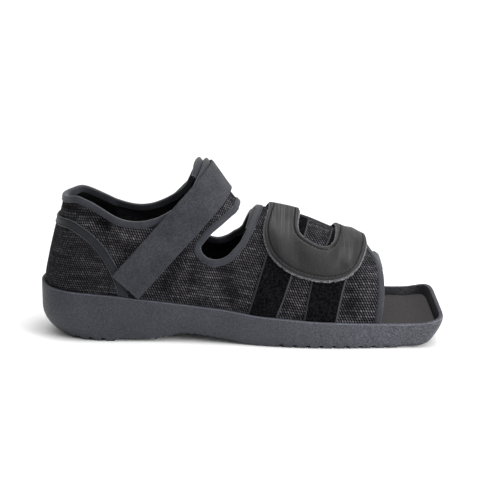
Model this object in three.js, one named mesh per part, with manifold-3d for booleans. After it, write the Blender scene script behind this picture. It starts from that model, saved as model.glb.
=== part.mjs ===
// A post-operative shoe that fits either foot: an open, square-toed walking shoe with a moulded cup sole,
// an insole, a mesh upper cut away over the instep, an ankle strap and a ring-shaped forefoot closure.
// Millimetres. +X points to the toe, +Y to the medial side of a right foot, +Z up, and the floor is z = 0.
// The origin is the middle of the footprint, on the floor.
import * as THREE from 'three';
import { mergeVertices } from 'three/addons/utils/BufferGeometryUtils.js';
import Module from 'manifold-3d';

const wasm = await Module();
wasm.setup();

// Driving dimensions of the last and the sole
const LENGTH = 292; // heel to toe, outside the sole
const BALL_WIDTH = 108; // across the sole at the ball
const HEEL_WIDTH = 72; // across the sole at the heel
const HEEL_LENGTH = 38; // rounded back end of the sole's outline
const TOE_LENGTH = 30; // square front end of the sole's outline
const HEEL_ROUND = 2.3; // exponent of the heel's outline, where 2 is an ellipse
const TOE_ROUND = 7; // exponent of the square toe's outline
const HEEL_RIM_HEIGHT = 36.1; // top of the sole's rim at the side of the heel
const TOE_RIM_HEIGHT = 17.6; // top of the sole's rim at the toe
const INSTEP_HEIGHT = 96; // top of the upper just before the ankle
const SHAFT_HEIGHT = 150; // where the last closes above the ankle, over the collar
const HEEL_LEAN = 15.9; // how far the back of the last leans forward
const ARCH_LIFT = 6.2; // highest point of the sole's underside
const TOE_SPRING = 4.6; // lift of the sole's underside at the toe

// Sole
const RIM_WALL = 2.8;
const RIM_EDGE = 0.8; // bevel on the rim's outer edge
const INSOLE_DEPTH = 6; // rim's top down to the insole
const INSOLE_THICKNESS = 3.6;
const SIDE_TUCK = 3.2; // how far the side's foot lies inside its widest line
const HEEL_TUCK = 14; // the same at the back of the heel
const TOE_TUCK = 8; // the same at the toe
const TUCK_HEIGHT = 22; // height over which the side rounds in
const TUCK_CURVE = 2.2; // how late it does so: 1 is a straight slope
const TOE_TUCK_CURVE = 1.4;
const LUG_DEPTH = 2.2;
const LUG_GAP = 3;
const LUG_PITCH = 9.35;
const LUG_COUNT = 11; // forefoot grooves
const HEEL_LUG_COUNT = 3; // heel grooves
const LUG_START = 0.601; // first forefoot groove, as a share of LENGTH
const HEEL_LUG_START = 0.097; // first heel groove
const HEEL_RELIEF = 1.8; // lift of the smooth underside at both ends of the heel
const HEEL_BACK_END = 0.053; // end of the relief behind the heel lugs, as a share of LENGTH
const HEEL_FRONT = { from: 0.195, to: 0.32 }; // the relief before them
const SIDE_LEVELS = [0, 0.09, 0.26, 0.5, 1]; // shares of TUCK_HEIGHT at which the side bends

// Upper
const WALL = 2.2; // padded mesh
const GAP = 0.3; // between pieces that meet
const FLAP_OVERLAP = 22; // how far each side's flaps reach past the middle
const FLAP_TUCK = 4; // how far the medial flaps lie under the lateral ones
const FLAP_ALONG = { from: 0.27, to: 0.35 }; // where they begin to, as shares of LENGTH
const FLAP_RISE = { from: 0.45, to: 0.74 }; // and as shares of the height from a section's foot to its ridge
const FLAPS_START = 0.295; // behind it both sides are one cloth, as a share of LENGTH
const BARE_TOE = { from: 0.86, to: 0.9 }; // where the insole widens in front of the upper
const BINDING_WIDTH = 5;
const BINDING_PROUD = 0.7; // binding beyond each face of the wall
const BINDING_BEVEL = 0.85; // on its folded edge
const OVERLAY = 1; // heel counter and loop strips
const TAPE_WIDTH = 6.5; // tape along the counter's edge
const TAPE_THICKNESS = 1.2;
const TAPE_BASE = 0.6; // from the last's face to the tape, whose bends don't follow the upper's facets
const STRAP_WIDTH = 25;
const STRAP_THICKNESS = 1.6;
const STRAP_ANGLE = 47.8; // degrees above the floor
const STRAP_FOOT = 0.249; // where the strap's lower edge meets the rim, as a share of LENGTH
const STRAP_LIFTED = { from: 0.27, to: 0.32 }; // where it comes down from the counter's tape
const LOOP_END = 6; // from the middle to the loop strips' ends, on the lateral side
const CLOSURE_THICKNESS = 2.3;

const UPPER_INSET = RIM_WALL + GAP; // sole's outline to the upper's outer face
const HEEL_X = -LENGTH / 2 + HEEL_LENGTH; // where the heel's round end begins
const TOE_X = LENGTH / 2 - TOE_LENGTH; // where the toe's square end begins
const FAR = 400; // past everything

const lengthwise = (along) => (along - 0.5) * LENGTH;
const mix = (a, b, share) => a + (b - a) * share;

function smoothStep(from, to, value) {
  const share = Math.min(1, Math.max(0, (value - from) / (to - from)));
  return share * share * (3 - 2 * share);
}

// A smooth curve without overshoot through a table's rows, of one column over another
function through(table, key, column) {
  const at = table.map((row) => row[key]);
  const value = table.map((row) => row[column]);
  const step = at.slice(1).map((next, i) => next - at[i]);
  const rise = step.map((width, i) => (value[i + 1] - value[i]) / width);
  const slope = value.map((_, i) => {
    if (i === 0) return rise[0];
    if (i === rise.length) return rise[i - 1];
    if (rise[i - 1] * rise[i] <= 0) return 0;
    const before = 2 * step[i] + step[i - 1];
    const after = step[i] + 2 * step[i - 1];
    return (before + after) / (before / rise[i - 1] + after / rise[i]);
  });
  return (x) => {
    if (x <= at[0]) return value[0];
    if (x >= at[at.length - 1]) return value[value.length - 1];
    const i = at.findIndex((next) => x <= next) - 1;
    const t = (x - at[i]) / step[i];
    const start = value[i] * (1 + 2 * t) + step[i] * slope[i] * t;
    const end = value[i + 1] * (3 - 2 * t) - step[i] * slope[i + 1] * (1 - t);
    return start * (1 - t) ** 2 + end * t * t;
  };
}

// Sections along the sole: along is the share of LENGTH from the heel, ball the share of the way from the heel's
// half width to the ball's
const OUTLINE = [
  { along: 0.13, ball: -0.03 },
  { along: 0.192, ball: 0.017 },
  { along: 0.26, ball: 0.03 },
  { along: 0.346, ball: 0.11 },
  { along: 0.432, ball: 0.29 },
  { along: 0.5, ball: 0.51 },
  { along: 0.568, ball: 0.73 },
  { along: 0.637, ball: 0.91 },
  { along: 0.705, ball: 0.995 },
  { along: 0.757, ball: 1 },
  { along: 0.825, ball: 0.96 },
  { along: 0.897, ball: 0.89 },
];

// The rim's top: heel is the share of the way from the toe's rim height to the heel's
const RIM = [
  { along: 0, heel: 1.232 },
  { along: 0.031, heel: 1.12 },
  { along: 0.068, heel: 1.065 },
  { along: 0.123, heel: 1 },
  { along: 0.192, heel: 0.908 },
  { along: 0.24, heel: 0.816 },
  { along: 0.295, heel: 0.719 },
  { along: 0.397, heel: 0.551 },
  { along: 0.466, heel: 0.449 },
  { along: 0.545, heel: 0.276 },
  { along: 0.613, heel: 0.211 },
  { along: 0.678, heel: 0.146 },
  { along: 0.747, heel: 0.108 },
  { along: 0.832, heel: 0.07 },
  { along: 0.9, heel: 0.04 },
  { along: 0.93, heel: 0.045 },
  { along: 0.955, heel: 0.095 },
  { along: 0.98, heel: 0.175 },
  { along: 1, heel: 0.23 },
];

// The underside: arch is the share of ARCH_LIFT and toe the share of TOE_SPRING
const UNDERSIDE = [
  { along: 0, arch: 0, toe: 0 },
  { along: 0.27, arch: 0, toe: 0 },
  { along: 0.31, arch: 0.5, toe: 0 },
  { along: 0.366, arch: 1, toe: 0 },
  { along: 0.414, arch: 0.82, toe: 0 },
  { along: 0.486, arch: 0.37, toe: 0 },
  { along: 0.527, arch: 0.16, toe: 0 },
  { along: 0.58, arch: 0, toe: 0 },
  { along: 0.86, arch: 0, toe: 0 },
  { along: 0.92, arch: 0, toe: 0.25 },
  { along: 1, arch: 0, toe: 1 },
];

// The last's ridge over the foot: instep is the share of INSTEP_HEIGHT, shaft the share of the way from there up to
// SHAFT_HEIGHT, and round the exponent of the section, where 2 is an ellipse
const RIDGE = [
  { along: 0.09, instep: 1, shaft: 1, round: 1.55 },
  { along: 0.13, instep: 1, shaft: 1, round: 1.55 },
  { along: 0.226, instep: 1, shaft: 1, round: 2.1 },
  { along: 0.295, instep: 1, shaft: 1, round: 2.3 },
  { along: 0.329, instep: 1, shaft: 0.99, round: 2.3 },
  { along: 0.363, instep: 1, shaft: 0.926, round: 2.3 },
  { along: 0.387, instep: 1, shaft: 0.815, round: 2.25 },
  { along: 0.411, instep: 1, shaft: 0.63, round: 2.15 },
  { along: 0.442, instep: 1, shaft: 0.389, round: 2.1 },
  { along: 0.473, instep: 1, shaft: 0.157, round: 2.0 },
  { along: 0.503, instep: 1, shaft: 0, round: 1.9 },
  { along: 0.541, instep: 0.969, shaft: 0, round: 1.85 },
  { along: 0.582, instep: 0.951, shaft: 0, round: 1.8 },
  { along: 0.651, instep: 0.899, shaft: 0, round: 1.9 },
  { along: 0.733, instep: 0.792, shaft: 0, round: 2.1 },
  { along: 0.815, instep: 0.68, shaft: 0, round: 2.35 },
  { along: 0.856, instep: 0.594, shaft: 0, round: 2.5 },
  { along: 0.897, instep: 0.521, shaft: 0, round: 2.6 },
  { along: 0.945, instep: 0.458, shaft: 0, round: 2.6 },
];

// The back of the last: up is the share of SHAFT_HEIGHT, lean the share of HEEL_LEAN that it has moved forward
const HEEL_BACK = [
  { up: 0.2, lean: 0 },
  { up: 0.273, lean: 0.044 },
  { up: 0.387, lean: 0.245 },
  { up: 0.507, lean: 0.522 },
  { up: 0.58, lean: 0.7 },
  { up: 0.627, lean: 0.79 },
  { up: 0.68, lean: 0.88 },
  { up: 0.8, lean: 1 },
  { up: 1, lean: 1 },
];

const outlineShare = through(OUTLINE, 'along', 'ball');
const rimShare = through(RIM, 'along', 'heel');
const archShare = through(UNDERSIDE, 'along', 'arch');
const toeShare = through(UNDERSIDE, 'along', 'toe');
const instepShare = through(RIDGE, 'along', 'instep');
const shaftShare = through(RIDGE, 'along', 'shaft');
const roundAt = through(RIDGE, 'along', 'round');
const leanShare = through(HEEL_BACK, 'up', 'lean');

const alongAt = (x) => x / LENGTH + 0.5;
const sideHalf = (x) => mix(HEEL_WIDTH, BALL_WIDTH, outlineShare(alongAt(x))) / 2;
const rimTop = (x) => mix(TOE_RIM_HEIGHT, HEEL_RIM_HEIGHT, rimShare(alongAt(x)));
const underside = (x) => ARCH_LIFT * archShare(alongAt(x)) + TOE_SPRING * toeShare(alongAt(x));
const cupFloor = (x) => rimTop(x) - INSOLE_DEPTH - INSOLE_THICKNESS - GAP;

function ridge(x) {
  const instep = INSTEP_HEIGHT * instepShare(alongAt(x));
  return mix(instep, SHAFT_HEIGHT, shaftShare(alongAt(x)));
}

// The outline in plan, from the middle of the heel to the middle of the toe
const HEEL_STEPS = 6;
const SIDE_STEPS = 18;
const TOE_STEPS = 6;
const STATIONS = [];
for (let i = 0; i < HEEL_STEPS; i++) {
  STATIONS.push({ end: 'heel', turn: (i / HEEL_STEPS) * (Math.PI / 2) });
}
for (let i = 0; i <= SIDE_STEPS; i++) {
  STATIONS.push({ end: 'side', x: mix(HEEL_X, TOE_X, i / SIDE_STEPS) });
}
for (let i = 1; i <= TOE_STEPS; i++) {
  STATIONS.push({ end: 'toe', turn: (1 - i / TOE_STEPS) * (Math.PI / 2) });
}

function planPoint(station, inset) {
  if (station.end === 'side') return { x: station.x, half: sideHalf(station.x) - inset };
  const heel = station.end === 'heel';
  const power = 2 / (heel ? HEEL_ROUND : TOE_ROUND);
  const start = heel ? HEEL_X : TOE_X;
  const reach = (heel ? HEEL_LENGTH : TOE_LENGTH) - inset;
  const half = Math.sin(station.turn) ** power * (sideHalf(start) - inset);
  const x = start + (heel ? -1 : 1) * Math.abs(Math.cos(station.turn)) ** power * reach;
  return { x, half };
}

// A ring of points at one level, from the heel along the lateral side to the toe and back along the medial side
function ring(inset, height) {
  const lateral = STATIONS.map((station) => {
    const { x, half } = planPoint(station, inset(station));
    return [x, -half, height(x)];
  });
  const medial = lateral.map(([x, y, z]) => [x, -y, z]).reverse();
  return [...lateral, ...medial];
}

function manifoldOf(geometry) {
  geometry.deleteAttribute('normal');
  geometry.deleteAttribute('uv');
  const merged = mergeVertices(geometry, 1e-4);
  const index = Array.from(merged.index.array);
  const triangles = [];
  for (let i = 0; i < index.length; i += 3) {
    const [a, b, c] = index.slice(i, i + 3);
    if (a !== b && b !== c && c !== a) triangles.push(a, b, c);
  }
  const mesh = new wasm.Mesh({
    numProp: 3,
    vertProperties: new Float32Array(merged.attributes.position.array),
    triVerts: new Uint32Array(triangles),
  });
  mesh.merge();
  return new wasm.Manifold(mesh);
}

function solidOf(points, faces) {
  const geometry = new THREE.BufferGeometry();
  geometry.setAttribute('position', new THREE.Float32BufferAttribute(points.flat(), 3));
  geometry.setIndex(faces.flat());
  return manifoldOf(geometry);
}

// A closed body from rings stacked upwards; each cap joins the points of the two sides that face each other
function stack(rings) {
  const count = rings[0].length;
  const faces = [];
  const quad = (a, b, c, d) => faces.push([a, b, c], [a, c, d]);
  for (let r = 0; r + 1 < rings.length; r++) {
    for (let i = 0; i < count; i++) {
      const next = (i + 1) % count;
      quad(r * count + i, r * count + next, (r + 1) * count + next, (r + 1) * count + i);
    }
  }
  const top = (rings.length - 1) * count;
  for (let i = 0; i + 1 < count / 2; i++) {
    quad(i + 1, i, count - 1 - i, count - 2 - i);
    quad(top + i, top + i + 1, top + count - 2 - i, top + count - 1 - i);
  }
  return solidOf(rings.flat(), faces);
}

// A closed body through rings of points, one after another
function rungs(rings) {
  const count = rings[0].length;
  const faces = [];
  for (let r = 0; r + 1 < rings.length; r++) {
    for (let i = 0; i < count; i++) {
      const [a, b] = [r * count + i, r * count + ((i + 1) % count)];
      faces.push([a, b, b + count], [a, b + count, a + count]);
    }
  }
  const last = (rings.length - 1) * count;
  for (let i = 1; i + 1 < count; i++) {
    faces.push([0, i + 1, i], [last, last + i, last + i + 1]);
  }
  return solidOf(rings.flat(), faces);
}

// A body cut along a side view's outline, from one y to another
function prism(shape, fromY = -FAR, toY = FAR, curveSegments = 12) {
  const geometry = new THREE.ExtrudeGeometry(shape, {
    depth: toY - fromY,
    bevelEnabled: false,
    curveSegments,
  });
  geometry.rotateX(Math.PI / 2);
  geometry.translate(0, toY, 0);
  return manifoldOf(geometry);
}

function box(x0, x1, y0, y1, z0, z1) {
  const geometry = new THREE.BoxGeometry(x1 - x0, y1 - y0, z1 - z0);
  geometry.translate((x0 + x1) / 2, (y0 + y1) / 2, (z0 + z1) / 2);
  return manifoldOf(geometry);
}

const union = (parts) => parts.reduce((whole, part) => whole.add(part));

// Sole
function tuckAtLevel(station, level) {
  const { x } = planPoint(station, 0);
  const heel = 1 - smoothStep(-LENGTH / 2, HEEL_X + HEEL_LENGTH / 3, x);
  const toe = smoothStep(TOE_X + TOE_LENGTH / 3, LENGTH / 2, x);
  const reach = SIDE_TUCK + (HEEL_TUCK - SIDE_TUCK) * heel + (TOE_TUCK - SIDE_TUCK) * toe;
  const curve = TUCK_CURVE + (TOE_TUCK_CURVE - TUCK_CURVE) * toe;
  return reach * Math.max(0, 1 - level) ** curve;
}

function grooves() {
  const cuts = [];
  const groove = (x) => {
    const z = underside(x) + LUG_DEPTH;
    cuts.push(box(x - LUG_GAP / 2, x + LUG_GAP / 2, -FAR, FAR, -FAR, z));
  };
  for (let i = 0; i < LUG_COUNT; i++) groove(lengthwise(LUG_START) + i * LUG_PITCH);
  for (let i = 0; i < HEEL_LUG_COUNT; i++) groove(lengthwise(HEEL_LUG_START) + i * LUG_PITCH);
  return cuts;
}

const tuckHeight = (x) => Math.min(TUCK_HEIGHT, rimTop(x) - underside(x) - 3 * RIM_EDGE);

// How far the toe's side lies inside its widest line at the cup's floor
function tuckAtFloor(station) {
  const { x } = planPoint(station, 0);
  const toe = smoothStep(TOE_X, TOE_X + TOE_LENGTH / 3, x);
  return toe * tuckAtLevel(station, (cupFloor(x) - underside(x)) / tuckHeight(x));
}

function sole() {
  const side = SIDE_LEVELS.map((level) =>
    ring(
      (station) => tuckAtLevel(station, level),
      (x) => underside(x) + level * tuckHeight(x),
    ),
  );
  const edge = [
    ring(() => 0, (x) => rimTop(x) - RIM_EDGE),
    ring(() => RIM_EDGE, rimTop),
  ];
  const cup = stack([
    ring((station) => RIM_WALL + tuckAtFloor(station), cupFloor),
    ring(() => RIM_WALL, rimTop),
    ring(() => RIM_WALL, (x) => rimTop(x) + RIM_WALL),
  ]);
  const reliefs = [
    box(-FAR, lengthwise(HEEL_BACK_END), -FAR, FAR, -FAR, HEEL_RELIEF),
    box(lengthwise(HEEL_FRONT.from), lengthwise(HEEL_FRONT.to), -FAR, FAR, -FAR, HEEL_RELIEF),
  ];
  return stack([...side, ...edge]).subtract(cup).subtract(union([...reliefs, ...grooves()]));
}

// Insole: under the upper's wall it keeps clear of it, and past the upper it reaches the rim
function insole() {
  const inset = (station) => {
    const { x } = planPoint(station, 0);
    const underUpper = 1 - smoothStep(lengthwise(BARE_TOE.from), lengthwise(BARE_TOE.to), x);
    return RIM_WALL + GAP + tuckAtFloor(station) + (WALL + GAP) * underUpper;
  };
  const bottom = (x) => cupFloor(x) + GAP;
  return stack([ring(inset, bottom), ring(inset, (x) => bottom(x) + INSOLE_THICKNESS)]);
}

// The last. A section's foot is just under the rim's top; from there its sides rise and close at the ridge.
const LAST_FOOT = 3; // rim's top down to the section's foot
const LAST_BASE = -TUCK_HEIGHT; // its straight sides end here, under every piece
const SECTION_STEPS = 9; // from a section's foot to its ridge
// Where the last's sections stand, closest where the ridge turns down from the ankle
const SECTIONS_ALONG = [
  0.13, 0.186, 0.238, 0.284, 0.32, 0.348, 0.371, 0.393, 0.415, 0.437, 0.459, 0.481, 0.503, 0.53, 0.57, 0.62,
  0.68, 0.74, 0.8, 0.86, 0.945,
];
const footOf = (x) => rimTop(Math.max(x, HEEL_X)) - LAST_FOOT;
const heelReach = HEEL_LENGTH - UPPER_INSET;
const heelShift = (z) => 1 - (HEEL_LEAN * leanShare(z / SHAFT_HEIGHT)) / heelReach;

// Zero on the last's face, above zero outside
function lastField(x, y, z) {
  const at = Math.max(x, HEEL_X);
  const rise = Math.max(0, (z - footOf(at)) / (ridge(at) - footOf(at)));
  const power = roundAt(alongAt(at));
  const half = sideHalf(at) - UPPER_INSET;
  if (x >= HEEL_X) return (Math.abs(y) / half) ** power + rise ** power - 1;
  const across = half * Math.max(1e-6, 1 - rise ** power) ** (1 / power);
  const back = (HEEL_X - x) / (heelReach * heelShift(z));
  return (Math.abs(y) / across) ** HEEL_ROUND + back ** HEEL_ROUND - 1;
}

// Half width of the last at a point of the side view
function lastHalf(x, z) {
  const at = Math.max(x, HEEL_X);
  const rise = Math.max(0, (z - footOf(at)) / (ridge(at) - footOf(at)));
  if (rise >= 1) return 0;
  const power = roundAt(alongAt(at));
  const half = (sideHalf(at) - UPPER_INSET) * (1 - rise ** power) ** (1 / power);
  if (x >= HEEL_X) return half;
  const back = (HEEL_X - x) / (heelReach * heelShift(z));
  return back >= 1 ? 0 : half * (1 - back ** HEEL_ROUND) ** (1 / HEEL_ROUND);
}

// Height of the last's face, forward of the heel's round end
function lastTop(x, y) {
  const power = roundAt(alongAt(x));
  const half = sideHalf(x) - UPPER_INSET;
  return mix(footOf(x), ridge(x), (1 - (Math.abs(y) / half) ** power) ** (1 / power));
}

function gradient({ x, y, z }) {
  const h = 0.05;
  return new THREE.Vector3(
    lastField(x + h, y, z) - lastField(x - h, y, z),
    lastField(x, y + h, z) - lastField(x, y - h, z),
    lastField(x, y, z + h) - lastField(x, y, z - h),
  ).divideScalar(2 * h);
}

const outward = (point) => gradient(point).normalize();

// The nearest point of the last's face
function ontoLast(point) {
  for (let i = 0; i < 4; i++) {
    const slope = gradient(point);
    point.addScaledVector(slope, -lastField(point.x, point.y, point.z) / slope.lengthSq());
  }
  return point;
}

// How far the medial quarter lies inside the last's face, where its flaps pass under the lateral ones
function tuck(point) {
  const rise = (point.z - footOf(point.x)) / (ridge(point.x) - footOf(point.x));
  const flap = smoothStep(lengthwise(FLAP_ALONG.from), lengthwise(FLAP_ALONG.to), point.x);
  return -FLAP_TUCK * flap * smoothStep(FLAP_RISE.from, FLAP_RISE.to, rise);
}

// The last grown by an offset, closed, with straight sides below its foot
function lastBody(offset) {
  const stations = STATIONS.filter((station) => station.end === 'heel');
  for (const along of SECTIONS_ALONG) stations.push({ end: 'side', x: lengthwise(along) });
  const rings = [];
  for (let level = 0; level <= SECTION_STEPS; level++) {
    const turn = (level / SECTION_STEPS) * (Math.PI / 2);
    const lateral = stations.map((station) => {
      const plan = station.x > TOE_X
        ? { x: station.x, half: sideHalf(TOE_X) - UPPER_INSET }
        : planPoint(station, UPPER_INSET);
      const at = Math.max(plan.x, HEEL_X);
      const power = 2 / roundAt(alongAt(at));
      const z = mix(footOf(at), ridge(at), Math.sin(turn) ** power);
      const x = plan.x < HEEL_X ? HEEL_X + (plan.x - HEEL_X) * heelShift(z) : plan.x;
      const y = level === SECTION_STEPS ? 0 : -plan.half * Math.cos(turn) ** power;
      const point = new THREE.Vector3(x, y, z);
      const out = outward(point);
      if (y === 0) out.setY(0).normalize();
      return point.addScaledVector(out, offset(point)).toArray();
    });
    rings.push([...lateral, ...lateral.map(([x, y, z]) => [x, -y, z]).reverse()]);
  }
  return stack([rings[0].map(([x, y]) => [x, y, LAST_BASE]), ...rings]);
}

// A layer that follows the last, between two offsets from its face, less the plane that both bodies end in
function layer(inner, outer, shift = () => 0) {
  const face = (distance) => lastBody((point) => distance + shift(point));
  return face(outer).subtract(face(inner).add(box(-FAR, FAR, -FAR, FAR, -FAR, LAST_BASE + WALL)));
}

// Edges in the side view: along is the share of LENGTH, up the share of the height from the rim to the ridge
const COLLAR = [
  { along: 0.05, up: 0.577 },
  { along: 0.075, up: 0.59 },
  { along: 0.1, up: 0.601 },
  { along: 0.129, up: 0.577 },
  { along: 0.159, up: 0.539 },
  { along: 0.188, up: 0.501 },
  { along: 0.216, up: 0.479 },
  { along: 0.245, up: 0.474 },
  { along: 0.274, up: 0.486 },
  { along: 0.303, up: 0.513 },
  { along: 0.334, up: 0.563 },
  { along: 0.363, up: 0.64 },
  { along: 0.38, up: 0.724 },
  { along: 0.397, up: 0.835 },
  { along: 0.409, up: 0.938 },
  { along: 0.416, up: 1.01 },
];
const MEDIAL_COLLAR = [
  ...COLLAR.slice(0, 9),
  { along: 0.303, up: 0.516 },
  { along: 0.331, up: 0.563 },
  { along: 0.3565, up: 0.637 },
  { along: 0.373, up: 0.726 },
  { along: 0.3885, up: 0.832 },
  { along: 0.401, up: 0.934 },
  { along: 0.4095, up: 1.01 },
];
const OPENING = [
  { along: 0.502, up: 1.01 },
  { along: 0.493, up: 0.926 },
  { along: 0.479, up: 0.838 },
  { along: 0.457, up: 0.701 },
  { along: 0.432, up: 0.562 },
  { along: 0.414, up: 0.461 },
  { along: 0.405, up: 0.41 },
  { along: 0.408, up: 0.373 },
  { along: 0.422, up: 0.362 },
  { along: 0.444, up: 0.393 },
  { along: 0.467, up: 0.472 },
  { along: 0.483, up: 0.568 },
  { along: 0.497, up: 0.661 },
  { along: 0.509, up: 0.752 },
  { along: 0.521, up: 0.844 },
  { along: 0.531, up: 0.93 },
  { along: 0.541, up: 1.01 },
];
const MEDIAL_OPENING = [
  ...OPENING.slice(0, 13),
  { along: 0.507, up: 0.752 },
  { along: 0.516, up: 0.844 },
  { along: 0.524, up: 0.93 },
  { along: 0.531, up: 1.01 },
];
const TOE_EDGE = [
  { along: 0.813, up: 1.01 },
  { along: 0.826, up: 0.984 },
  { along: 0.839, up: 0.952 },
  { along: 0.848, up: 0.885 },
  { along: 0.852, up: 0.778 },
  { along: 0.852, up: 0.55 },
  { along: 0.849, up: 0.287 },
  { along: 0.843, up: 0 },
  { along: 0.839, up: -0.25 },
];
const MEDIAL_TOE_EDGE = [
  { along: 0.859, up: 1.01 },
  { along: 0.86, up: 0.93 },
  { along: 0.858, up: 0.778 },
  ...TOE_EDGE.slice(5),
];
const COUNTER_EDGE = [
  { along: 0.044, up: 0.447 },
  { along: 0.085, up: 0.449 },
  { along: 0.111, up: 0.419 },
  { along: 0.136, up: 0.376 },
  { along: 0.161, up: 0.32 },
  { along: 0.181, up: 0.258 },
  { along: 0.203, up: 0.158 },
  { along: 0.22, up: 0.04 },
  { along: 0.23, up: -0.04 },
];
const CLOSURE_RIM = [
  { along: 0.58, up: 1.06 },
  { along: 0.565, up: 0.926 },
  { along: 0.558, up: 0.801 },
  { along: 0.565, up: 0.673 },
  { along: 0.582, up: 0.574 },
  { along: 0.611, up: 0.496 },
  { along: 0.646, up: 0.455 },
  { along: 0.689, up: 0.453 },
  { along: 0.724, up: 0.487 },
  { along: 0.756, up: 0.563 },
  { along: 0.782, up: 0.687 },
  { along: 0.797, up: 0.831 },
  { along: 0.806, up: 0.95 },
  { along: 0.813, up: 1.06 },
];
const CLOSURE_HOLE = [
  { along: 0.741, up: 1.06 },
  { along: 0.736, up: 0.975 },
  { along: 0.728, up: 0.885 },
  { along: 0.712, up: 0.815 },
  { along: 0.693, up: 0.793 },
  { along: 0.669, up: 0.802 },
  { along: 0.648, up: 0.835 },
  { along: 0.64, up: 0.888 },
  { along: 0.641, up: 0.96 },
  { along: 0.648, up: 1.06 },
];

// The loop strips on the forefoot flap
const REAR_LOOPS = [
  { up: -0.1, rear: 0.508, front: 0.577 },
  { up: 0.5, rear: 0.551, front: 0.628 },
  { up: 1.05, rear: 0.596, front: 0.676 },
];
const FRONT_LOOPS = [
  { up: -0.1, rear: 0.648, front: 0.729 },
  { up: 0.5, rear: 0.675, front: 0.757 },
  { up: 1.05, rear: 0.731, front: 0.8 },
];

// A row of an edge as a point of the side view
function sidePoint({ along, up }) {
  const x = lengthwise(along);
  return new THREE.Vector2(x, mix(rimTop(x), ridge(x), up));
}

// A side view's region, from an edge's curve and the corners that close it
function region(rows, corners, divisions = 3) {
  const curve = new THREE.SplineCurve(rows.map(sidePoint));
  const points = curve.getPoints((rows.length - 1) * divisions);
  return new THREE.Shape([...points, ...corners.map(([x, z]) => new THREE.Vector2(x, z))]);
}

// What the upper leaves open in the side view: over the collar, in the opening and past the toe edge
function cutaway(collar, opening, toe, toeReach) {
  const end = (rows) => sidePoint(rows[rows.length - 1]);
  const collarEnd = end(collar);
  const toeEnd = end(toe);
  const [toeTop, openTop, openEnd] = [sidePoint(toe[0]), sidePoint(opening[0]), end(opening)];
  const over = [
    prism(region(collar, [
      [collarEnd.x + HEEL_RIM_HEIGHT, FAR],
      [-FAR, FAR],
      [-FAR, sidePoint(collar[0]).y],
    ])),
    prism(region(opening, [
      [openEnd.x + BINDING_WIDTH, FAR],
      [openTop.x - BINDING_WIDTH, FAR],
    ])),
    prism(region(toe, [
      [toeEnd.x, -FAR],
      [FAR, -FAR],
      [FAR, FAR],
      [toeTop.x, FAR],
    ]), -FAR, toeReach),
  ];
  return union(over);
}

const EDGE_STEPS = 600;

// An edge on one side of the last, in 3-D, from its first row to its last
function edgeOn(rows, side) {
  const curve = new THREE.SplineCurve(rows.map(sidePoint));
  const points = [];
  for (let i = 0; i <= EDGE_STEPS; i++) {
    const at = curve.getPoint(i / EDGE_STEPS);
    const half = lastHalf(at.x, at.y);
    const [before] = points.slice(-1);
    if (half > 0 || (before && before.y !== 0)) points.push(new THREE.Vector3(at.x, side * half, at.y));
  }
  return points;
}

// The first part of an edge, from the ridge, carried over to the other side as far as the flap reaches
function pastRidge(points) {
  const end = points.findIndex((point) => Math.abs(point.y) > FLAP_OVERLAP + RIBBON_STEP);
  return points.slice(1, end).map((point) => new THREE.Vector3(point.x, -point.y, point.z)).reverse();
}

const RIBBON_STEP = 6; // between a ribbon's sections
const noShift = () => 0;

// An edge's straight end from where it meets the ridge to the other side, as far as the flap reaches
function straightOver({ x, y }) {
  const points = [];
  for (let reach = FLAP_OVERLAP + RIBBON_STEP; reach > 1; reach--) {
    points.push(new THREE.Vector3(x, -Math.sign(y) * reach, lastTop(x, reach)));
  }
  return points;
}

// A ribbon that follows the last beside an edge. The section's points are a distance into the panel and one out of
// the last's face; hand is 1 where the panel lies to the right of the path, seen from outside, and -1 to the left.
// It leaves out as many steps at each end as skip says.
function ribbon(points, hand, section, { shift = noShift, skip = 0 } = {}) {
  const curve = new THREE.CatmullRomCurve3(points, false, 'centripetal');
  curve.arcLengthDivisions = points.length * 2;
  const count = Math.round(curve.getLength() / RIBBON_STEP);
  const rings = curve.getSpacedPoints(count).map((edge, i) => {
    const across = new THREE.Vector3().crossVectors(curve.getTangentAt(i / count), outward(edge));
    across.normalize().multiplyScalar(hand);
    return section.map(([into, out]) => {
      const point = ontoLast(edge.clone().addScaledVector(across, into));
      return point.addScaledVector(outward(point), out + shift(point, i / count)).toArray();
    });
  });
  const kept = rings.slice(skip, rings.length - skip);
  return rungs(hand > 0 ? kept : kept.reverse());
}

const inside = -WALL - BINDING_PROUD;
const BINDING_SECTION = [
  [0, BINDING_PROUD - BINDING_BEVEL],
  [BINDING_BEVEL, BINDING_PROUD],
  [BINDING_WIDTH, BINDING_PROUD],
  [BINDING_WIDTH, inside],
  [BINDING_BEVEL, inside],
  [0, inside + BINDING_BEVEL],
];

// The room that a ribbon takes out of the panel under it, and past the panel's edge, where the cut slants
const clearance = (width, outer, inner, past) => [
  [-past, outer],
  [width + GAP, outer],
  [width + GAP, inner],
  [-past, inner],
];

// How far a binding's room reaches past the panel's edge, which the cut through both sides slants
const PAST_COLLAR = 9;
const PAST_OPENING = 5;
const PAST_TOE = 16;

const HAND = { lateral: 1, medial: -1 };
const SHIFT = { lateral: noShift, medial: tuck };

const roomOf = (points, hand, shift, past) =>
  ribbon(points, hand, clearance(BINDING_WIDTH, 2 * BINDING_PROUD, inside - GAP, past), { shift });

// A binding along one side's edge, and the room that it takes out of that side
function binding(points, side, past) {
  return {
    tape: ribbon(points, HAND[side], BINDING_SECTION, { shift: SHIFT[side], skip: 1 }),
    [side]: roomOf(points, HAND[side], SHIFT[side], past),
  };
}

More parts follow.
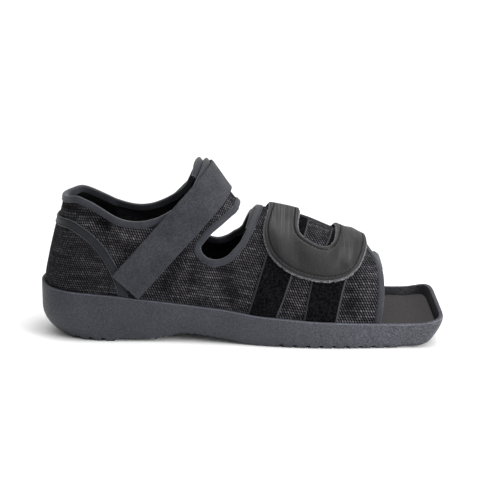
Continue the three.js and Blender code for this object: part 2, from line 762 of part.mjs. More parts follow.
// What lies below a height over the rim's top or the cup's floor
function below(height) {
  const top = [];
  for (let i = 0; i <= 40; i++) {
    const x = mix(-LENGTH / 2 - RIM_WALL, LENGTH / 2, i / 40);
    top.push(new THREE.Vector2(x, height(x)));
  }
  return prism(new THREE.Shape([...top, new THREE.Vector2(FAR, -FAR), new THREE.Vector2(-FAR, -FAR)]));
}

const underRim = below((x) => rimTop(x) + GAP);

function bindings() {
  const lateralToe = edgeOn(TOE_EDGE, -1);
  const medialToe = edgeOn(MEDIAL_TOE_EDGE, 1);
  const lateralOpening = edgeOn(OPENING, -1);
  const medialOpening = edgeOn(MEDIAL_OPENING, 1);
  const withEnd = (points) => [...points, ...pastRidge([...points].reverse()).reverse()];
  const withEnds = (points) => [...pastRidge(points), ...withEnd(points)];
  const medialCollar = withEnd(edgeOn(MEDIAL_COLLAR, 1)).slice(1).reverse();
  const lateralCollar = withEnd(edgeOn(COLLAR, -1));
  const collar = [...medialCollar, ...lateralCollar];
  // the medial half of the collar is tucked in with its flap
  const tuckedFirst = (point, share) => (share < 0.5 ? tuck(point) : 0);
  const lap = 20; // points of the other half, so that both rooms reach over the back of the heel
  return {
    collar_binding: {
      tape: ribbon(collar, 1, BINDING_SECTION, { shift: tuckedFirst, skip: 1 }),
      lateral: roomOf(collar.slice(medialCollar.length - lap), 1, noShift, PAST_COLLAR),
      medial: roomOf(collar.slice(0, medialCollar.length + lap), 1, tuck, PAST_COLLAR),
    },
    lateral_opening_binding: binding(withEnds(lateralOpening), 'lateral', PAST_OPENING),
    medial_opening_binding: binding(withEnds(medialOpening), 'medial', PAST_OPENING),
    lateral_toe_binding: binding([...straightOver(lateralToe[0]), ...lateralToe], 'lateral', PAST_TOE),
    medial_toe_binding: binding([...pastRidge(medialToe), ...medialToe], 'medial', PAST_TOE),
  };
}

const rims = bindings();

function upper() {
  const flapsStart = lengthwise(FLAPS_START);
  const skin = 0.04; // keeps the two sides' faces apart where the flaps aren't tucked
  const rooms = (side) => union(Object.values(rims).filter((rim) => rim[side]).map((rim) => rim[side]));
  const lateral = layer(-WALL, 0)
    .subtract(cutaway(COLLAR, OPENING, TOE_EDGE, 0))
    .subtract(box(edgeOn(TOE_EDGE, -1)[0].x, FAR, 0, FAR, -FAR, FAR))
    .subtract(box(flapsStart, FAR, FLAP_OVERLAP, FAR, -FAR, FAR))
    .subtract(rooms('lateral'))
    .subtract(rims.collar_binding.medial.intersect(box(-FAR, flapsStart, 0, FAR, -FAR, FAR)));
  const medial = layer(skin - WALL, -skin, tuck)
    .subtract(cutaway(MEDIAL_COLLAR, MEDIAL_OPENING, MEDIAL_TOE_EDGE, FAR))
    .subtract(box(-FAR, flapsStart - GAP, -FAR, FAR, -FAR, FAR))
    .subtract(box(-FAR, FAR, -FAR, -FLAP_OVERLAP, -FAR, FAR))
    .subtract(rooms('medial'));
  return lateral.add(medial).subtract(below((x) => cupFloor(x) + GAP));
}

// The counter's edge round the heel, from the medial rim to the lateral one, with its tape
function counter() {
  const lateral = edgeOn(COUNTER_EDGE, -1);
  const medial = edgeOn(COUNTER_EDGE, 1);
  const path = [...medial.slice(1).reverse(), ...lateral];
  const section = [
    [0, TAPE_BASE],
    [0, TAPE_BASE + TAPE_THICKNESS],
    [TAPE_WIDTH, TAPE_BASE + TAPE_THICKNESS],
    [TAPE_WIDTH, TAPE_BASE],
  ];
  const room = ribbon(path, 1, clearance(TAPE_WIDTH, 3, -1, TAPE_WIDTH));
  const first = sidePoint(COUNTER_EDGE[0]);
  const panel = prism(region(COUNTER_EDGE, [
    [lengthwise(COUNTER_EDGE[COUNTER_EDGE.length - 1].along), -FAR],
    [-FAR, -FAR],
    [-FAR, first.y],
  ]));
  const cloth = layer(GAP, GAP + OVERLAY).intersect(panel).subtract(room).subtract(underRim);
  return { cloth, tape: ribbon(path, 1, section).subtract(underRim) };
}

// A strip across the forefoot in the side view, between two edges that lean forward
function strip(rows) {
  const edge = (name) => rows.map((row) => sidePoint({ along: row[name], up: row.up }));
  return prism(new THREE.Shape([...edge('rear'), ...edge('front').reverse()]));
}

function loopStrip(rows, side) {
  const shift = side < 0 ? noShift : tuck;
  const from = side < 0 ? -FAR : FLAP_OVERLAP + GAP;
  const to = side < 0 ? -LOOP_END : FAR;
  return layer(GAP, GAP + OVERLAY, shift)
    .intersect(strip(rows))
    .intersect(box(-FAR, FAR, from, to, -FAR, FAR))
    .subtract(underRim);
}

// The ring over the forefoot: one closed outline over both sides, less the hole over the ridge
function closure() {
  const start = GAP + OVERLAY + GAP;
  return layer(start, start + CLOSURE_THICKNESS)
    .intersect(prism(region(CLOSURE_RIM, [])))
    .subtract(prism(region(CLOSURE_HOLE, [])));
}

// The ankle strap, straight in the side view, from the lateral rim over the ankle to the medial rim
function strap() {
  const base = BINDING_PROUD + 2 * GAP;
  const overTape = TAPE_BASE + TAPE_THICKNESS + 2 * GAP - base;
  const lift = (point) =>
    overTape * (1 - smoothStep(lengthwise(STRAP_LIFTED.from), lengthwise(STRAP_LIFTED.to), point.x));
  const up = new THREE.Vector2(1, 0).rotateAround(new THREE.Vector2(), (STRAP_ANGLE * Math.PI) / 180);
  const foot = new THREE.Vector2(lengthwise(STRAP_FOOT), rimTop(lengthwise(STRAP_FOOT)));
  const side = new THREE.Vector2(-up.y, up.x).multiplyScalar(STRAP_WIDTH);
  const far = up.clone().multiplyScalar(LENGTH);
  const outline = [foot, foot.clone().add(far), foot.clone().add(far).add(side), foot.clone().add(side)];
  return layer(base, base + STRAP_THICKNESS, lift)
    .intersect(prism(new THREE.Shape(outline)))
    .subtract(underRim);
}

const MATERIALS = {
  sole: { color: 0x404349, roughness: 0.72 },
  insole: { color: 0x2c2a2b, roughness: 0.85 },
  mesh: { color: 0x29272a, roughness: 0.9 },
  binding: { color: 0x3e4248, roughness: 0.6 },
  loop: { color: 0x131315, roughness: 1 },
  strap: { color: 0x45484c, roughness: 0.8 },
  leatherette: { color: 0x333435, roughness: 0.45 },
};

const shoe = new THREE.Group();

function add(name, solid, material) {
  const { vertProperties, triVerts, numProp } = solid.getMesh();
  const positions = [];
  for (let i = 0; i < vertProperties.length; i += numProp) {
    positions.push(vertProperties[i], vertProperties[i + 1], vertProperties[i + 2]);
  }
  const geometry = new THREE.BufferGeometry();
  geometry.setAttribute('position', new THREE.Float32BufferAttribute(positions, 3));
  geometry.setIndex(Array.from(triVerts));
  geometry.computeVertexNormals();
  const look = new THREE.MeshStandardMaterial({ metalness: 0, ...MATERIALS[material] });
  const mesh = new THREE.Mesh(geometry, look);
  mesh.name = name;
  shoe.add(mesh);
}

add('sole', sole(), 'sole');
add('insole', insole(), 'insole');
add('upper', upper(), 'mesh');
const heel = counter();
add('heel_counter', heel.cloth, 'mesh');
add('counter_tape', heel.tape, 'binding');
add('rear_lateral_loops', loopStrip(REAR_LOOPS, -1), 'loop');
add('front_lateral_loops', loopStrip(FRONT_LOOPS, -1), 'loop');
add('rear_medial_loops', loopStrip(REAR_LOOPS, 1), 'loop');
add('front_medial_loops', loopStrip(FRONT_LOOPS, 1), 'loop');
add('ankle_strap', strap(), 'strap');
add('forefoot_closure', closure(), 'leatherette');
for (const [name, { tape }] of Object.entries(rims)) {
  add(name, tape.subtract(underRim), 'binding');
}

export default shoe;
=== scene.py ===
import math

import bmesh
import bpy
import numpy as np
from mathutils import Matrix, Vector


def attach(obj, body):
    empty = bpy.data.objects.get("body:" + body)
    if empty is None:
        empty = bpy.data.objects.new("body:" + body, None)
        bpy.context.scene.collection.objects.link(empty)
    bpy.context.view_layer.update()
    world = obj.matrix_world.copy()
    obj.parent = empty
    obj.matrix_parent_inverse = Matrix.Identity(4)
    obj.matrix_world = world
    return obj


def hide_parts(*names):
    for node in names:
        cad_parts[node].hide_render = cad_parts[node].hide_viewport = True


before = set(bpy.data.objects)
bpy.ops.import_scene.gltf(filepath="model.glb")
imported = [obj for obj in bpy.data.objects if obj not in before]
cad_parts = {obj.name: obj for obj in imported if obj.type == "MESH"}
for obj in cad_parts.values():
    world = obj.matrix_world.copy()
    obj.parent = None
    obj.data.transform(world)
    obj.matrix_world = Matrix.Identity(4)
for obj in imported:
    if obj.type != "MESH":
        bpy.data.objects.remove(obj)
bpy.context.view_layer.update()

MM = 0.001

# Sizes of the last, the sole and what lies on them, in millimetres: a round or a curve is an exponent,
# a level is a share of the height and STRAP_ANGLE is in degrees
LENGTH = 292
BALL_WIDTH = 108
HEEL_WIDTH = 72
HEEL_LENGTH = 38
TOE_LENGTH = 30
HEEL_ROUND = 2.3
TOE_ROUND = 7
HEEL_RIM_HEIGHT = 36.1
TOE_RIM_HEIGHT = 17.6
INSTEP_HEIGHT = 96
SHAFT_HEIGHT = 150
HEEL_LEAN = 15.9
ARCH_LIFT = 6.2
TOE_SPRING = 4.6
RIM_WALL = 2.8
INSOLE_DEPTH = 6
INSOLE_THICKNESS = 3.6
SIDE_TUCK = 3.2
HEEL_TUCK = 14
TOE_TUCK = 8
TUCK_HEIGHT = 22
TUCK_CURVE = 2.2
TOE_TUCK_CURVE = 1.4
TUCK_CLEAR = 2.4
SIDE_LEVELS = [0, 0.02, 0.12, 0.2, 0.3, 0.42, 0.56, 0.72, 0.88, 1]
RIM_OUTSIDE_EDGE = 0.9
RIM_INSIDE_EDGE = 0.5
CUP_TOE_INSET = 1.8
INSOLE_EDGE = 1.1
LUG_DEPTH = 2.2
LUG_GAP = 3
LUG_PITCH = 9.35
LUG_COUNT = 11
HEEL_LUG_COUNT = 3
HEEL_RELIEF = 1.8
LUG_SLOPE = 0.25
TEETH_PITCH = 5
TEETH_DEPTH = 0.9
TEETH_CREST = 0.7
TEETH_FADE = 8
WALL = 2.2
GAP = 0.3
OVERLAY = 1
FLAP_OVERLAP = 22
FLAP_TUCK = 4
BINDING_WIDTH = 5
BINDING_HIDES = 1.6
TAPE_WIDTH = 6.5
STRAP_WIDTH = 25
STRAP_ANGLE = 47.8
STRAP_LIFT = 1.1
CLOSURE_TOP = 4
CLOSURE_EDGE = 0.7
LAST_FOOT = 3

# Places as shares of LENGTH from the heel
LUG_START = 0.601
HEEL_LUG_START = 0.097
HEEL_BACK_END = 0.053
HEEL_FRONT = (0.195, 0.32)
TOOTHED = (0.205, 0.5)
BARE_TOE = (0.86, 0.9)
UPPER_REACH = 0.9
COUNTER_REACH = 0.26
FLAP_ALONG = (0.27, 0.35)
STRAP_FOOT = 0.249
STRAP_LIFTED = (0.27, 0.32)

# Shares of the height from the foot of the last to its ridge
FLAP_RISE = (0.45, 0.74)

# How finely the meshes are made: OVER_TURN is how far a patch runs past the ridge, in radians, and a thread's
# profile has shares of its length and radius
COLUMN_SPACING = 2.2
RING_SPACING = 1.6
STATION_SPACING = 2.4
FAN_STEPS = 20
SKIRT_STEPS = 4
ROW_STEPS = 48
OVER_STEPS = 16
OVER_TURN = 0.6
CORNER_STEPS = 4
LOOP_STEPS = (64, 20)
CLOSURE_STEPS = 150
CLOSURE_ROWS = 12
THREAD_SIDES = 6
THREAD_PROFILE = [(-0.5, 0.15), (-0.42, 0.75), (-0.2, 1), (0.2, 1), (0.42, 0.75), (0.5, 0.15)]

# A distance beyond the whole side view
FAR = 400

UPPER_INSET = RIM_WALL + GAP
HEEL_X = -LENGTH / 2 + HEEL_LENGTH
TOE_X = LENGTH / 2 - TOE_LENGTH
HEEL_REACH = HEEL_LENGTH - UPPER_INSET


def rows(names, *values):
    """A short table: a column of numbers for each name."""
    return dict(zip(names.split(), np.array(values, float).T))


# along is the share of LENGTH from the heel, ball the share of the way from the heel's width to the ball's
OUTLINE = rows(
    "along ball",
    (0.13, -0.03), (0.192, 0.017), (0.26, 0.03), (0.346, 0.11), (0.432, 0.29), (0.5, 0.51),
    (0.568, 0.73), (0.637, 0.91), (0.705, 0.995), (0.757, 1), (0.825, 0.96), (0.897, 0.89),
)
# heel is the share of the way from the toe's rim height to the heel's
RIM = rows(
    "along heel",
    (0, 1.232), (0.031, 1.12), (0.068, 1.065), (0.123, 1), (0.192, 0.908), (0.24, 0.816), (0.295, 0.719),
    (0.397, 0.551), (0.466, 0.449), (0.545, 0.276), (0.613, 0.211), (0.678, 0.146), (0.747, 0.108),
    (0.832, 0.07), (0.9, 0.04), (0.93, 0.045), (0.955, 0.095), (0.98, 0.175), (1, 0.23),
)
# arch is the share of ARCH_LIFT and toe the share of TOE_SPRING
UNDERSIDE = rows(
    "along arch toe",
    (0, 0, 0), (0.27, 0, 0), (0.31, 0.5, 0), (0.366, 1, 0), (0.414, 0.82, 0), (0.486, 0.37, 0),
    (0.527, 0.16, 0), (0.58, 0, 0), (0.86, 0, 0), (0.92, 0, 0.25), (1, 0, 1),
)
# instep is the share of INSTEP_HEIGHT, shaft the share of the way up to SHAFT_HEIGHT,
# and round the section's exponent
RIDGE = rows(
    "along instep shaft round",
    (0.09, 1, 1, 1.55), (0.13, 1, 1, 1.55), (0.226, 1, 1, 2.1), (0.295, 1, 1, 2.3), (0.329, 1, 0.99, 2.3),
    (0.363, 1, 0.926, 2.3), (0.387, 1, 0.815, 2.25), (0.411, 1, 0.63, 2.15), (0.442, 1, 0.389, 2.1),
    (0.473, 1, 0.157, 2.0), (0.503, 1, 0, 1.9), (0.541, 0.969, 0, 1.85), (0.582, 0.951, 0, 1.8),
    (0.651, 0.899, 0, 1.9), (0.733, 0.792, 0, 2.1), (0.815, 0.68, 0, 2.35), (0.856, 0.594, 0, 2.5),
    (0.897, 0.521, 0, 2.6), (0.945, 0.458, 0, 2.6),
)
# up is the share of SHAFT_HEIGHT, lean the share of HEEL_LEAN that the back has moved forward
HEEL_BACK = rows(
    "up lean",
    (0.2, 0), (0.273, 0.044), (0.387, 0.245), (0.507, 0.522), (0.58, 0.7), (0.627, 0.79), (0.68, 0.88),
    (0.8, 1), (1, 1),
)

# Edges in the side view: up is the share of the height from the rim to the ridge
COLLAR_REAR = [
    (0.05, 0.577), (0.075, 0.59), (0.1, 0.601), (0.129, 0.577), (0.159, 0.539), (0.188, 0.501),
    (0.216, 0.479), (0.245, 0.474), (0.274, 0.486),
]
COLLAR = rows(
    "along up", *COLLAR_REAR, (0.303, 0.513), (0.334, 0.563), (0.363, 0.64),
    (0.38, 0.724), (0.397, 0.835), (0.409, 0.938), (0.416, 1.01),
)
MEDIAL_COLLAR = rows(
    "along up", *COLLAR_REAR, (0.303, 0.516), (0.331, 0.563), (0.3565, 0.637),
    (0.373, 0.726), (0.3885, 0.832), (0.401, 0.934), (0.4095, 1.01),
)
OPENING_REAR = [
    (0.502, 1.01), (0.493, 0.926), (0.479, 0.838), (0.457, 0.701), (0.432, 0.562), (0.414, 0.461),
    (0.405, 0.41), (0.408, 0.373), (0.422, 0.362), (0.444, 0.393), (0.467, 0.472), (0.483, 0.568),
    (0.497, 0.661),
]
OPENING = rows("along up", *OPENING_REAR, (0.509, 0.752), (0.521, 0.844), (0.531, 0.93), (0.541, 1.01))
MEDIAL_OPENING = rows("along up", *OPENING_REAR, (0.507, 0.752), (0.516, 0.844), (0.524, 0.93), (0.531, 1.01))
TOE_EDGE = rows(
    "along up",
    (0.813, 1.01), (0.826, 0.984), (0.839, 0.952), (0.848, 0.885), (0.852, 0.778), (0.852, 0.55),
    (0.849, 0.287), (0.843, 0), (0.839, -0.25),
)
MEDIAL_TOE_EDGE = rows(
    "along up",
    (0.859, 1.01), (0.86, 0.93), (0.858, 0.778), (0.852, 0.55), (0.849, 0.287), (0.843, 0),
    (0.839, -0.25),
)
COUNTER_EDGE = rows(
    "along up",
    (0.044, 0.447), (0.085, 0.449), (0.111, 0.419), (0.136, 0.376), (0.161, 0.32), (0.181, 0.258),
    (0.203, 0.158), (0.22, 0.04), (0.23, -0.04),
)
CLOSURE_RIM = rows(
    "along up",
    (0.58, 1.06), (0.565, 0.926), (0.558, 0.801), (0.565, 0.673), (0.582, 0.574), (0.611, 0.496),
    (0.646, 0.455), (0.689, 0.453), (0.724, 0.487), (0.756, 0.563), (0.782, 0.687), (0.797, 0.831),
    (0.806, 0.95), (0.813, 1.06),
)
CLOSURE_HOLE = rows(
    "along up",
    (0.648, 1.06), (0.641, 0.96), (0.64, 0.888), (0.648, 0.835), (0.669, 0.802), (0.693, 0.793),
    (0.712, 0.815), (0.728, 0.885), (0.736, 0.975), (0.741, 1.06),
)
# rear and front are the edges of a loop strip at each height
REAR_LOOPS = rows("up rear front", (-0.1, 0.508, 0.577), (0.5, 0.551, 0.628), (1.05, 0.596, 0.676))
FRONT_LOOPS = rows("up rear front", (-0.1, 0.648, 0.729), (0.5, 0.675, 0.757), (1.05, 0.731, 0.8))

# Soft troughs and ridges of the padded cloth, each along a line of the side view from one place to another:
# depth is below zero in a trough, width is the distance over which it fades, and side is -1 on the lateral
# side, 1 on the medial side and 0 on both
CREASE_DEPTH = 2.2
CREASES = rows(
    "along up to_along to_up width depth side",
    (0.075, 0.53, 0.165, 0.44, 4.5, -0.9, 0),
    (0.1, 0.47, 0.15, 0.41, 5, 0.5, 0),
    (0.165, 0.44, 0.225, 0.3, 5, -0.8, 0),
    (0.2, 0.42, 0.262, 0.33, 7, 1.0, 0),
    (0.31, 0.07, 0.36, 0.3, 6, -0.8, -1),
    (0.33, 0.05, 0.385, 0.34, 6, 0.6, -1),
    (0.395, 0.33, 0.37, 0.12, 5, -0.7, -1),
    (0.425, 0.31, 0.43, 0.08, 5, 0.55, -1),
    (0.46, 0.35, 0.475, 0.07, 6, -0.6, -1),
    (0.32, 0.3, 0.4, 0.1, 7, -0.8, 1),
    (0.36, 0.4, 0.39, 0.15, 6, 0.6, 1),
    (0.45, 0.34, 0.48, 0.1, 6, -0.7, 1),
    (0.59, 0.42, 0.605, 0.1, 4, -0.5, 0),
    (0.77, 0.45, 0.765, 0.1, 5, -0.6, 0),
    (0.81, 0.6, 0.8, 0.15, 5, 0.5, 0),
    (0.575, 0.9, 0.6, 0.62, 5, 0.35, 0),
    (0.62, 0.86, 0.645, 0.62, 5, -0.3, 0),
    (0.752, 0.96, 0.735, 0.7, 4, -0.35, 0),
    (0.775, 0.95, 0.765, 0.72, 4, 0.35, 0),
)


def through(table, key, column):
    """A smooth curve without overshoot through a table's rows, of one column over another."""
    at, value = table[key], table[column]
    step = np.diff(at)
    rise = np.diff(value) / step
    slope = np.zeros(len(value))
    slope[0], slope[-1] = rise[0], rise[-1]
    for i in range(1, len(value) - 1):
        if rise[i - 1] * rise[i] > 0:
            before = 2 * step[i] + step[i - 1]
            after = step[i] + 2 * step[i - 1]
            slope[i] = (before + after) / (before / rise[i - 1] + after / rise[i])

    def read(x):
        x = np.clip(x, at[0], at[-1])
        i = np.clip(np.searchsorted(at, x) - 1, 0, len(at) - 2)
        t = (x - at[i]) / step[i]
        start = value[i] * (1 + 2 * t) + step[i] * slope[i] * t
        end = value[i + 1] * (3 - 2 * t) - step[i] * slope[i + 1] * (1 - t)
        return start * (1 - t) ** 2 + end * t * t

    return read


outline_share = through(OUTLINE, "along", "ball")
rim_share = through(RIM, "along", "heel")
arch_share = through(UNDERSIDE, "along", "arch")
toe_share = through(UNDERSIDE, "along", "toe")
instep_share = through(RIDGE, "along", "instep")
shaft_share = through(RIDGE, "along", "shaft")
round_share = through(RIDGE, "along", "round")
lean_share = through(HEEL_BACK, "up", "lean")


def mix(a, b, share):
    return a + (b - a) * share


def smooth_step(start, end, value):
    share = np.clip((value - start) / (end - start), 0, 1)
    return share * share * (3 - 2 * share)


def lengthwise(along):
    return (along - 0.5) * LENGTH


def along_step(ends, x):
    """A smooth step between two shares of LENGTH."""
    return smooth_step(lengthwise(ends[0]), lengthwise(ends[1]), x)


def side_half(x):
    return mix(HEEL_WIDTH, BALL_WIDTH, outline_share(x / LENGTH + 0.5)) / 2


def rim_top(x):
    return mix(TOE_RIM_HEIGHT, HEEL_RIM_HEIGHT, rim_share(x / LENGTH + 0.5))


def underside(x):
    along = x / LENGTH + 0.5
    return ARCH_LIFT * arch_share(along) + TOE_SPRING * toe_share(along)


def cup_floor(x):
    return rim_top(x) - INSOLE_DEPTH - INSOLE_THICKNESS - GAP


def ridge(x):
    along = x / LENGTH + 0.5
    return mix(INSTEP_HEIGHT * instep_share(along), SHAFT_HEIGHT, shaft_share(along))


def section_round(x):
    return round_share(x / LENGTH + 0.5)


def foot_of(x):
    return rim_top(np.maximum(x, HEEL_X)) - LAST_FOOT


def heel_shift(z):
    return 1 - HEEL_LEAN * lean_share(z / SHAFT_HEIGHT) / HEEL_REACH


def rise_of(x, z):
    """Share of the height from a section's foot to its ridge."""
    at = np.maximum(x, HEEL_X)
    return (z - foot_of(at)) / (ridge(at) - foot_of(at))


def section_at(x, angle):
    """Half width and height of the last's section at x, for angles from its foot over the ridge."""
    power = 2 / section_round(x)
    half = (side_half(x) - UPPER_INSET) * np.sign(np.cos(angle)) * np.abs(np.cos(angle)) ** power
    return half, mix(foot_of(x), ridge(x), np.abs(np.sin(angle)) ** power)


# The last's face and the directions out of it
def last_field(points):
    """Zero on the last's face, above zero outside."""
    x, y, z = points.T
    at = np.maximum(x, HEEL_X)
    rise = np.maximum(0, rise_of(x, z))
    power = section_round(at)
    half = side_half(at) - UPPER_INSET
    side = (np.abs(y) / half) ** power + rise**power - 1
    across = half * np.maximum(1e-6, 1 - rise**power) ** (1 / power)
    back = np.maximum(0, HEEL_X - x) / (HEEL_REACH * heel_shift(z))
    heel = (np.abs(y) / across) ** HEEL_ROUND + back**HEEL_ROUND - 1
    return np.where(x >= HEEL_X, side, heel)


def last_half(x, z):
    """Half width of the last at points of the side view."""
    at = np.maximum(x, HEEL_X)
    rise = np.clip(rise_of(x, z), 0, 1)
    power = section_round(at)
    half = (side_half(at) - UPPER_INSET) * (1 - rise**power) ** (1 / power)
    back = np.clip((HEEL_X - x) / (HEEL_REACH * heel_shift(z)), 0, 1)
    return half * (1 - back**HEEL_ROUND) ** (1 / HEEL_ROUND)


def gradient(points, step=0.05):
    parts = []
    for axis in np.eye(3) * step:
        parts.append((last_field(points + axis) - last_field(points - axis)) / (2 * step))
    return np.stack(parts, axis=-1)


def unit(vectors):
    return vectors / np.maximum(1e-12, np.linalg.norm(vectors, axis=-1, keepdims=True))


def outward(points):
    return unit(gradient(points))


def onto_last(points):
    for _ in range(4):
        slope = gradient(points)
        points = points - slope * (last_field(points) / (slope**2).sum(-1))[:, None]
    return points


def tuck(points):
    """How far the medial flaps lie inside the last's face, under the lateral ones."""
    x, _, z = points.T
    return -FLAP_TUCK * along_step(FLAP_ALONG, x) * smooth_step(*FLAP_RISE, rise_of(x, z))


def settle(points):
    """How far what spans both flaps sinks onto the medial flap beyond the lateral flap's edge."""
    return tuck(points) * smooth_step(FLAP_OVERLAP - 1, FLAP_OVERLAP + 8, points[:, 1])


def no_shift(points):
    return np.zeros(len(points))


# Edges and outlines
def side_points(table):
    x = lengthwise(table["along"])
    return np.stack([x, mix(rim_top(x), ridge(x), table["up"])], axis=-1)


def spline(points, count):
    """A curve through points, as count + 1 points."""
    points = np.asarray(points, float)
    ends = np.vstack([points[:1], points, points[-1:]])
    place = np.linspace(0, len(points) - 1, count + 1)
    i = np.minimum(place.astype(int), len(points) - 2)
    t = (place - i)[:, None]
    a, b, c, d = (ends[i + k] for k in range(4))
    start, end = (c - a) / 2, (d - b) / 2
    return (2 * b - 2 * c + start + end) * t**3 + (3 * c - 3 * b - 2 * start - end) * t**2 + start * t + b


def signed_distance(points, outline):
    """Distance to a closed outline, below zero inside it."""
    best = np.full(len(points), np.inf)
    inside = np.zeros(len(points), bool)
    for a, b in zip(outline, np.roll(outline, -1, axis=0)):
        span = b - a
        t = np.clip(((points - a) @ span) / max(1e-12, span @ span), 0, 1)
        best = np.minimum(best, np.linalg.norm(points - a - t[:, None] * span, axis=1))
        if a[1] != b[1]:
            crosses = (a[1] > points[:, 1]) != (b[1] > points[:, 1])
            at = a[0] + (points[:, 1] - a[1]) * span[0] / span[1]
            inside ^= crosses & (points[:, 0] < at)
    return np.where(inside, -best, best)


def cutaway(collar, opening, toe):
    """The side view's regions over the collar, in the opening and past the toe edge."""
    collar, opening, toe = (spline(side_points(edge), 120) for edge in (collar, opening, toe))
    over = [(collar[-1][0] + HEEL_RIM_HEIGHT, FAR), (-FAR, FAR), (-FAR, collar[0][1])]
    across = [(opening[-1][0] + BINDING_WIDTH, FAR), (opening[0][0] - BINDING_WIDTH, FAR)]
    past = [(toe[-1][0], -FAR), (FAR, -FAR), (FAR, FAR), (toe[0][0], FAR)]
    return [np.vstack([edge, corners]) for edge, corners in ((collar, over), (opening, across), (toe, past))]


def edge_on(table, side):
    """An edge on one side of the last, from its first row to its last."""
    flat = spline(side_points(table), 900)
    half = last_half(flat[:, 0], flat[:, 1])
    points = np.stack([flat[:, 0], side * half, flat[:, 1]], axis=-1)
    kept = half > 0
    if not kept[-1]:
        kept[np.flatnonzero(kept)[-1] + 1] = True
    return points[kept]


def past_ridge(points):
    """The start of an edge, from the ridge, carried over to the other side."""
    end = np.argmax(np.abs(points[:, 1]) > FLAP_OVERLAP)
    return mirrored(points[1:end])


def with_end(points):
    return np.vstack([points, past_ridge(points[::-1])[::-1]])


def straight_over(point):
    """Points of the last from beyond the ridge to near it, straight across from a point."""
    y = -np.sign(point[1]) * np.arange(FLAP_OVERLAP, 1, -0.5)
    x = np.full(len(y), point[0])
    power = section_round(x)
    share = (1 - (np.abs(y) / (side_half(x) - UPPER_INSET)) ** power) ** (1 / power)
    return np.stack([x, y, mix(foot_of(x), ridge(x), share)], axis=-1)


def distances(points):
    """How far along a path each of its points stands."""
    return np.concatenate([[0], np.cumsum(np.linalg.norm(np.diff(points, axis=0), axis=1))])


def mirrored(points):
    """A path on the other side, run through backwards."""
    return (points * (1, -1, 1))[::-1]


def evenly(points, spacing):
    """Evenly spaced points along a path, after a light smoothing, with their distances from its start."""
    gaps = np.linalg.norm(np.diff(points, axis=0), axis=1)
    points = points[np.concatenate([[True], gaps > 1e-6])]
    along = distances(points)
    count = max(2, round(along[-1] / spacing))
    at = np.linspace(0, along[-1], count + 1)
    return np.stack([np.interp(at, along, points[:, k]) for k in range(3)], axis=-1), at


def tangents(points):
    return unit(np.gradient(points, axis=0))


# Meshes
def linked(obj):
    bpy.context.scene.collection.objects.link(obj)
    return obj


def mesh_object(name, verts, faces, materials, uvs=None, slots=None):
    """A smooth mesh object from points in millimetres."""
    mesh = bpy.data.meshes.new(name)
    mesh.from_pydata((np.asarray(verts) * MM).tolist(), [], [list(map(int, face)) for face in faces])
    if uvs is not None:
        layer = mesh.uv_layers.new(name="cloth_mm")
        loops = np.zeros(len(mesh.loops), np.int32)
        mesh.loops.foreach_get("vertex_index", loops)
        layer.data.foreach_set("uv", np.asarray(uvs)[loops].astype(np.float32).ravel())
    for material in materials:
        mesh.materials.append(material)
    if slots is not None:
        mesh.polygons.foreach_set("material_index", np.asarray(slots, np.int32))
    mesh.polygons.foreach_set("use_smooth", np.ones(len(mesh.polygons), bool))
    mesh.update()
    return linked(bpy.data.objects.new(name, mesh))


def grid_faces(count_u, count_v, closed=False):
    """Quads of a grid whose point (u, v) has the number u * count_v + v, closed over v or not."""
    u = np.arange(count_u - 1)
    v = np.arange(count_v if closed else count_v - 1)
    u, v = (part.ravel() for part in np.meshgrid(u, v, indexing="ij"))
    next_v = (v + 1) % count_v
    corners = (u * count_v + v, (u + 1) * count_v + v, (u + 1) * count_v + next_v, u * count_v + next_v)
    return np.stack(corners, axis=-1)


def finished(obj, node):
    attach(obj, "root")
    if node:
        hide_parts(node)
    return obj


def sharpen(obj, degrees):
    """Smooth shading that keeps edges sharper than the angle."""
    obj.data.set_sharp_from_angle(angle=math.radians(degrees))


def weld(obj, distance):
    """Joins points that coincide and turns the faces outwards."""
    mesh = bmesh.new()
    mesh.from_mesh(obj.data)
    bmesh.ops.remove_doubles(mesh, verts=mesh.verts, dist=distance * MM)
    bmesh.ops.dissolve_degenerate(mesh, edges=mesh.edges, dist=distance * MM)
    bmesh.ops.recalc_face_normals(mesh, faces=mesh.faces)
    mesh.to_mesh(obj.data)
    mesh.free()


def beside(path, pitch, hand):
    """Evenly spaced points of a path, how far along it they stand, and the way into the panel beside it.

    The panel lies to the right of the path, seen from outside, where hand is 1.
    """
    edge, along = evenly(path, pitch)
    return edge, along, unit(np.cross(tangents(edge), outward(edge))) * hand


def ribbon(path, hand, section, shift):
    """Rings of a section that follows the last beside a path, and how far along the path each stands.

    The section's points are a distance into the panel and a distance out of the last's face.
    """
    edge, along, across = beside(path, RING_SPACING, hand)
    columns = []
    for into, out in section:
        point = onto_last(edge + across * into)
        columns.append(point + outward(point) * (out + shift(point))[:, None])
    return np.stack(columns, axis=1), along


def tube(name, rings, along, material, hand=1):
    """A closed body through rings, with flat ends."""
    count_u, count_v = rings.shape[:2]
    faces = grid_faces(count_u, count_v, closed=True)
    if hand > 0:
        faces = faces[:, ::-1]
    ends = [list(range(count_v)), list(range((count_u - 1) * count_v, count_u * count_v))]
    ends[0 if hand < 0 else 1].reverse()
    perimeter = np.linalg.norm(np.diff(rings[0], axis=0, append=rings[0][:1]), axis=1)
    v = np.concatenate([[0], np.cumsum(perimeter)[:-1]])
    uvs = np.stack([np.repeat(along, count_v), np.tile(v, count_u)], axis=-1)
    return mesh_object(name, rings.reshape(-1, 3), [*faces.tolist(), *ends], [material], uvs)


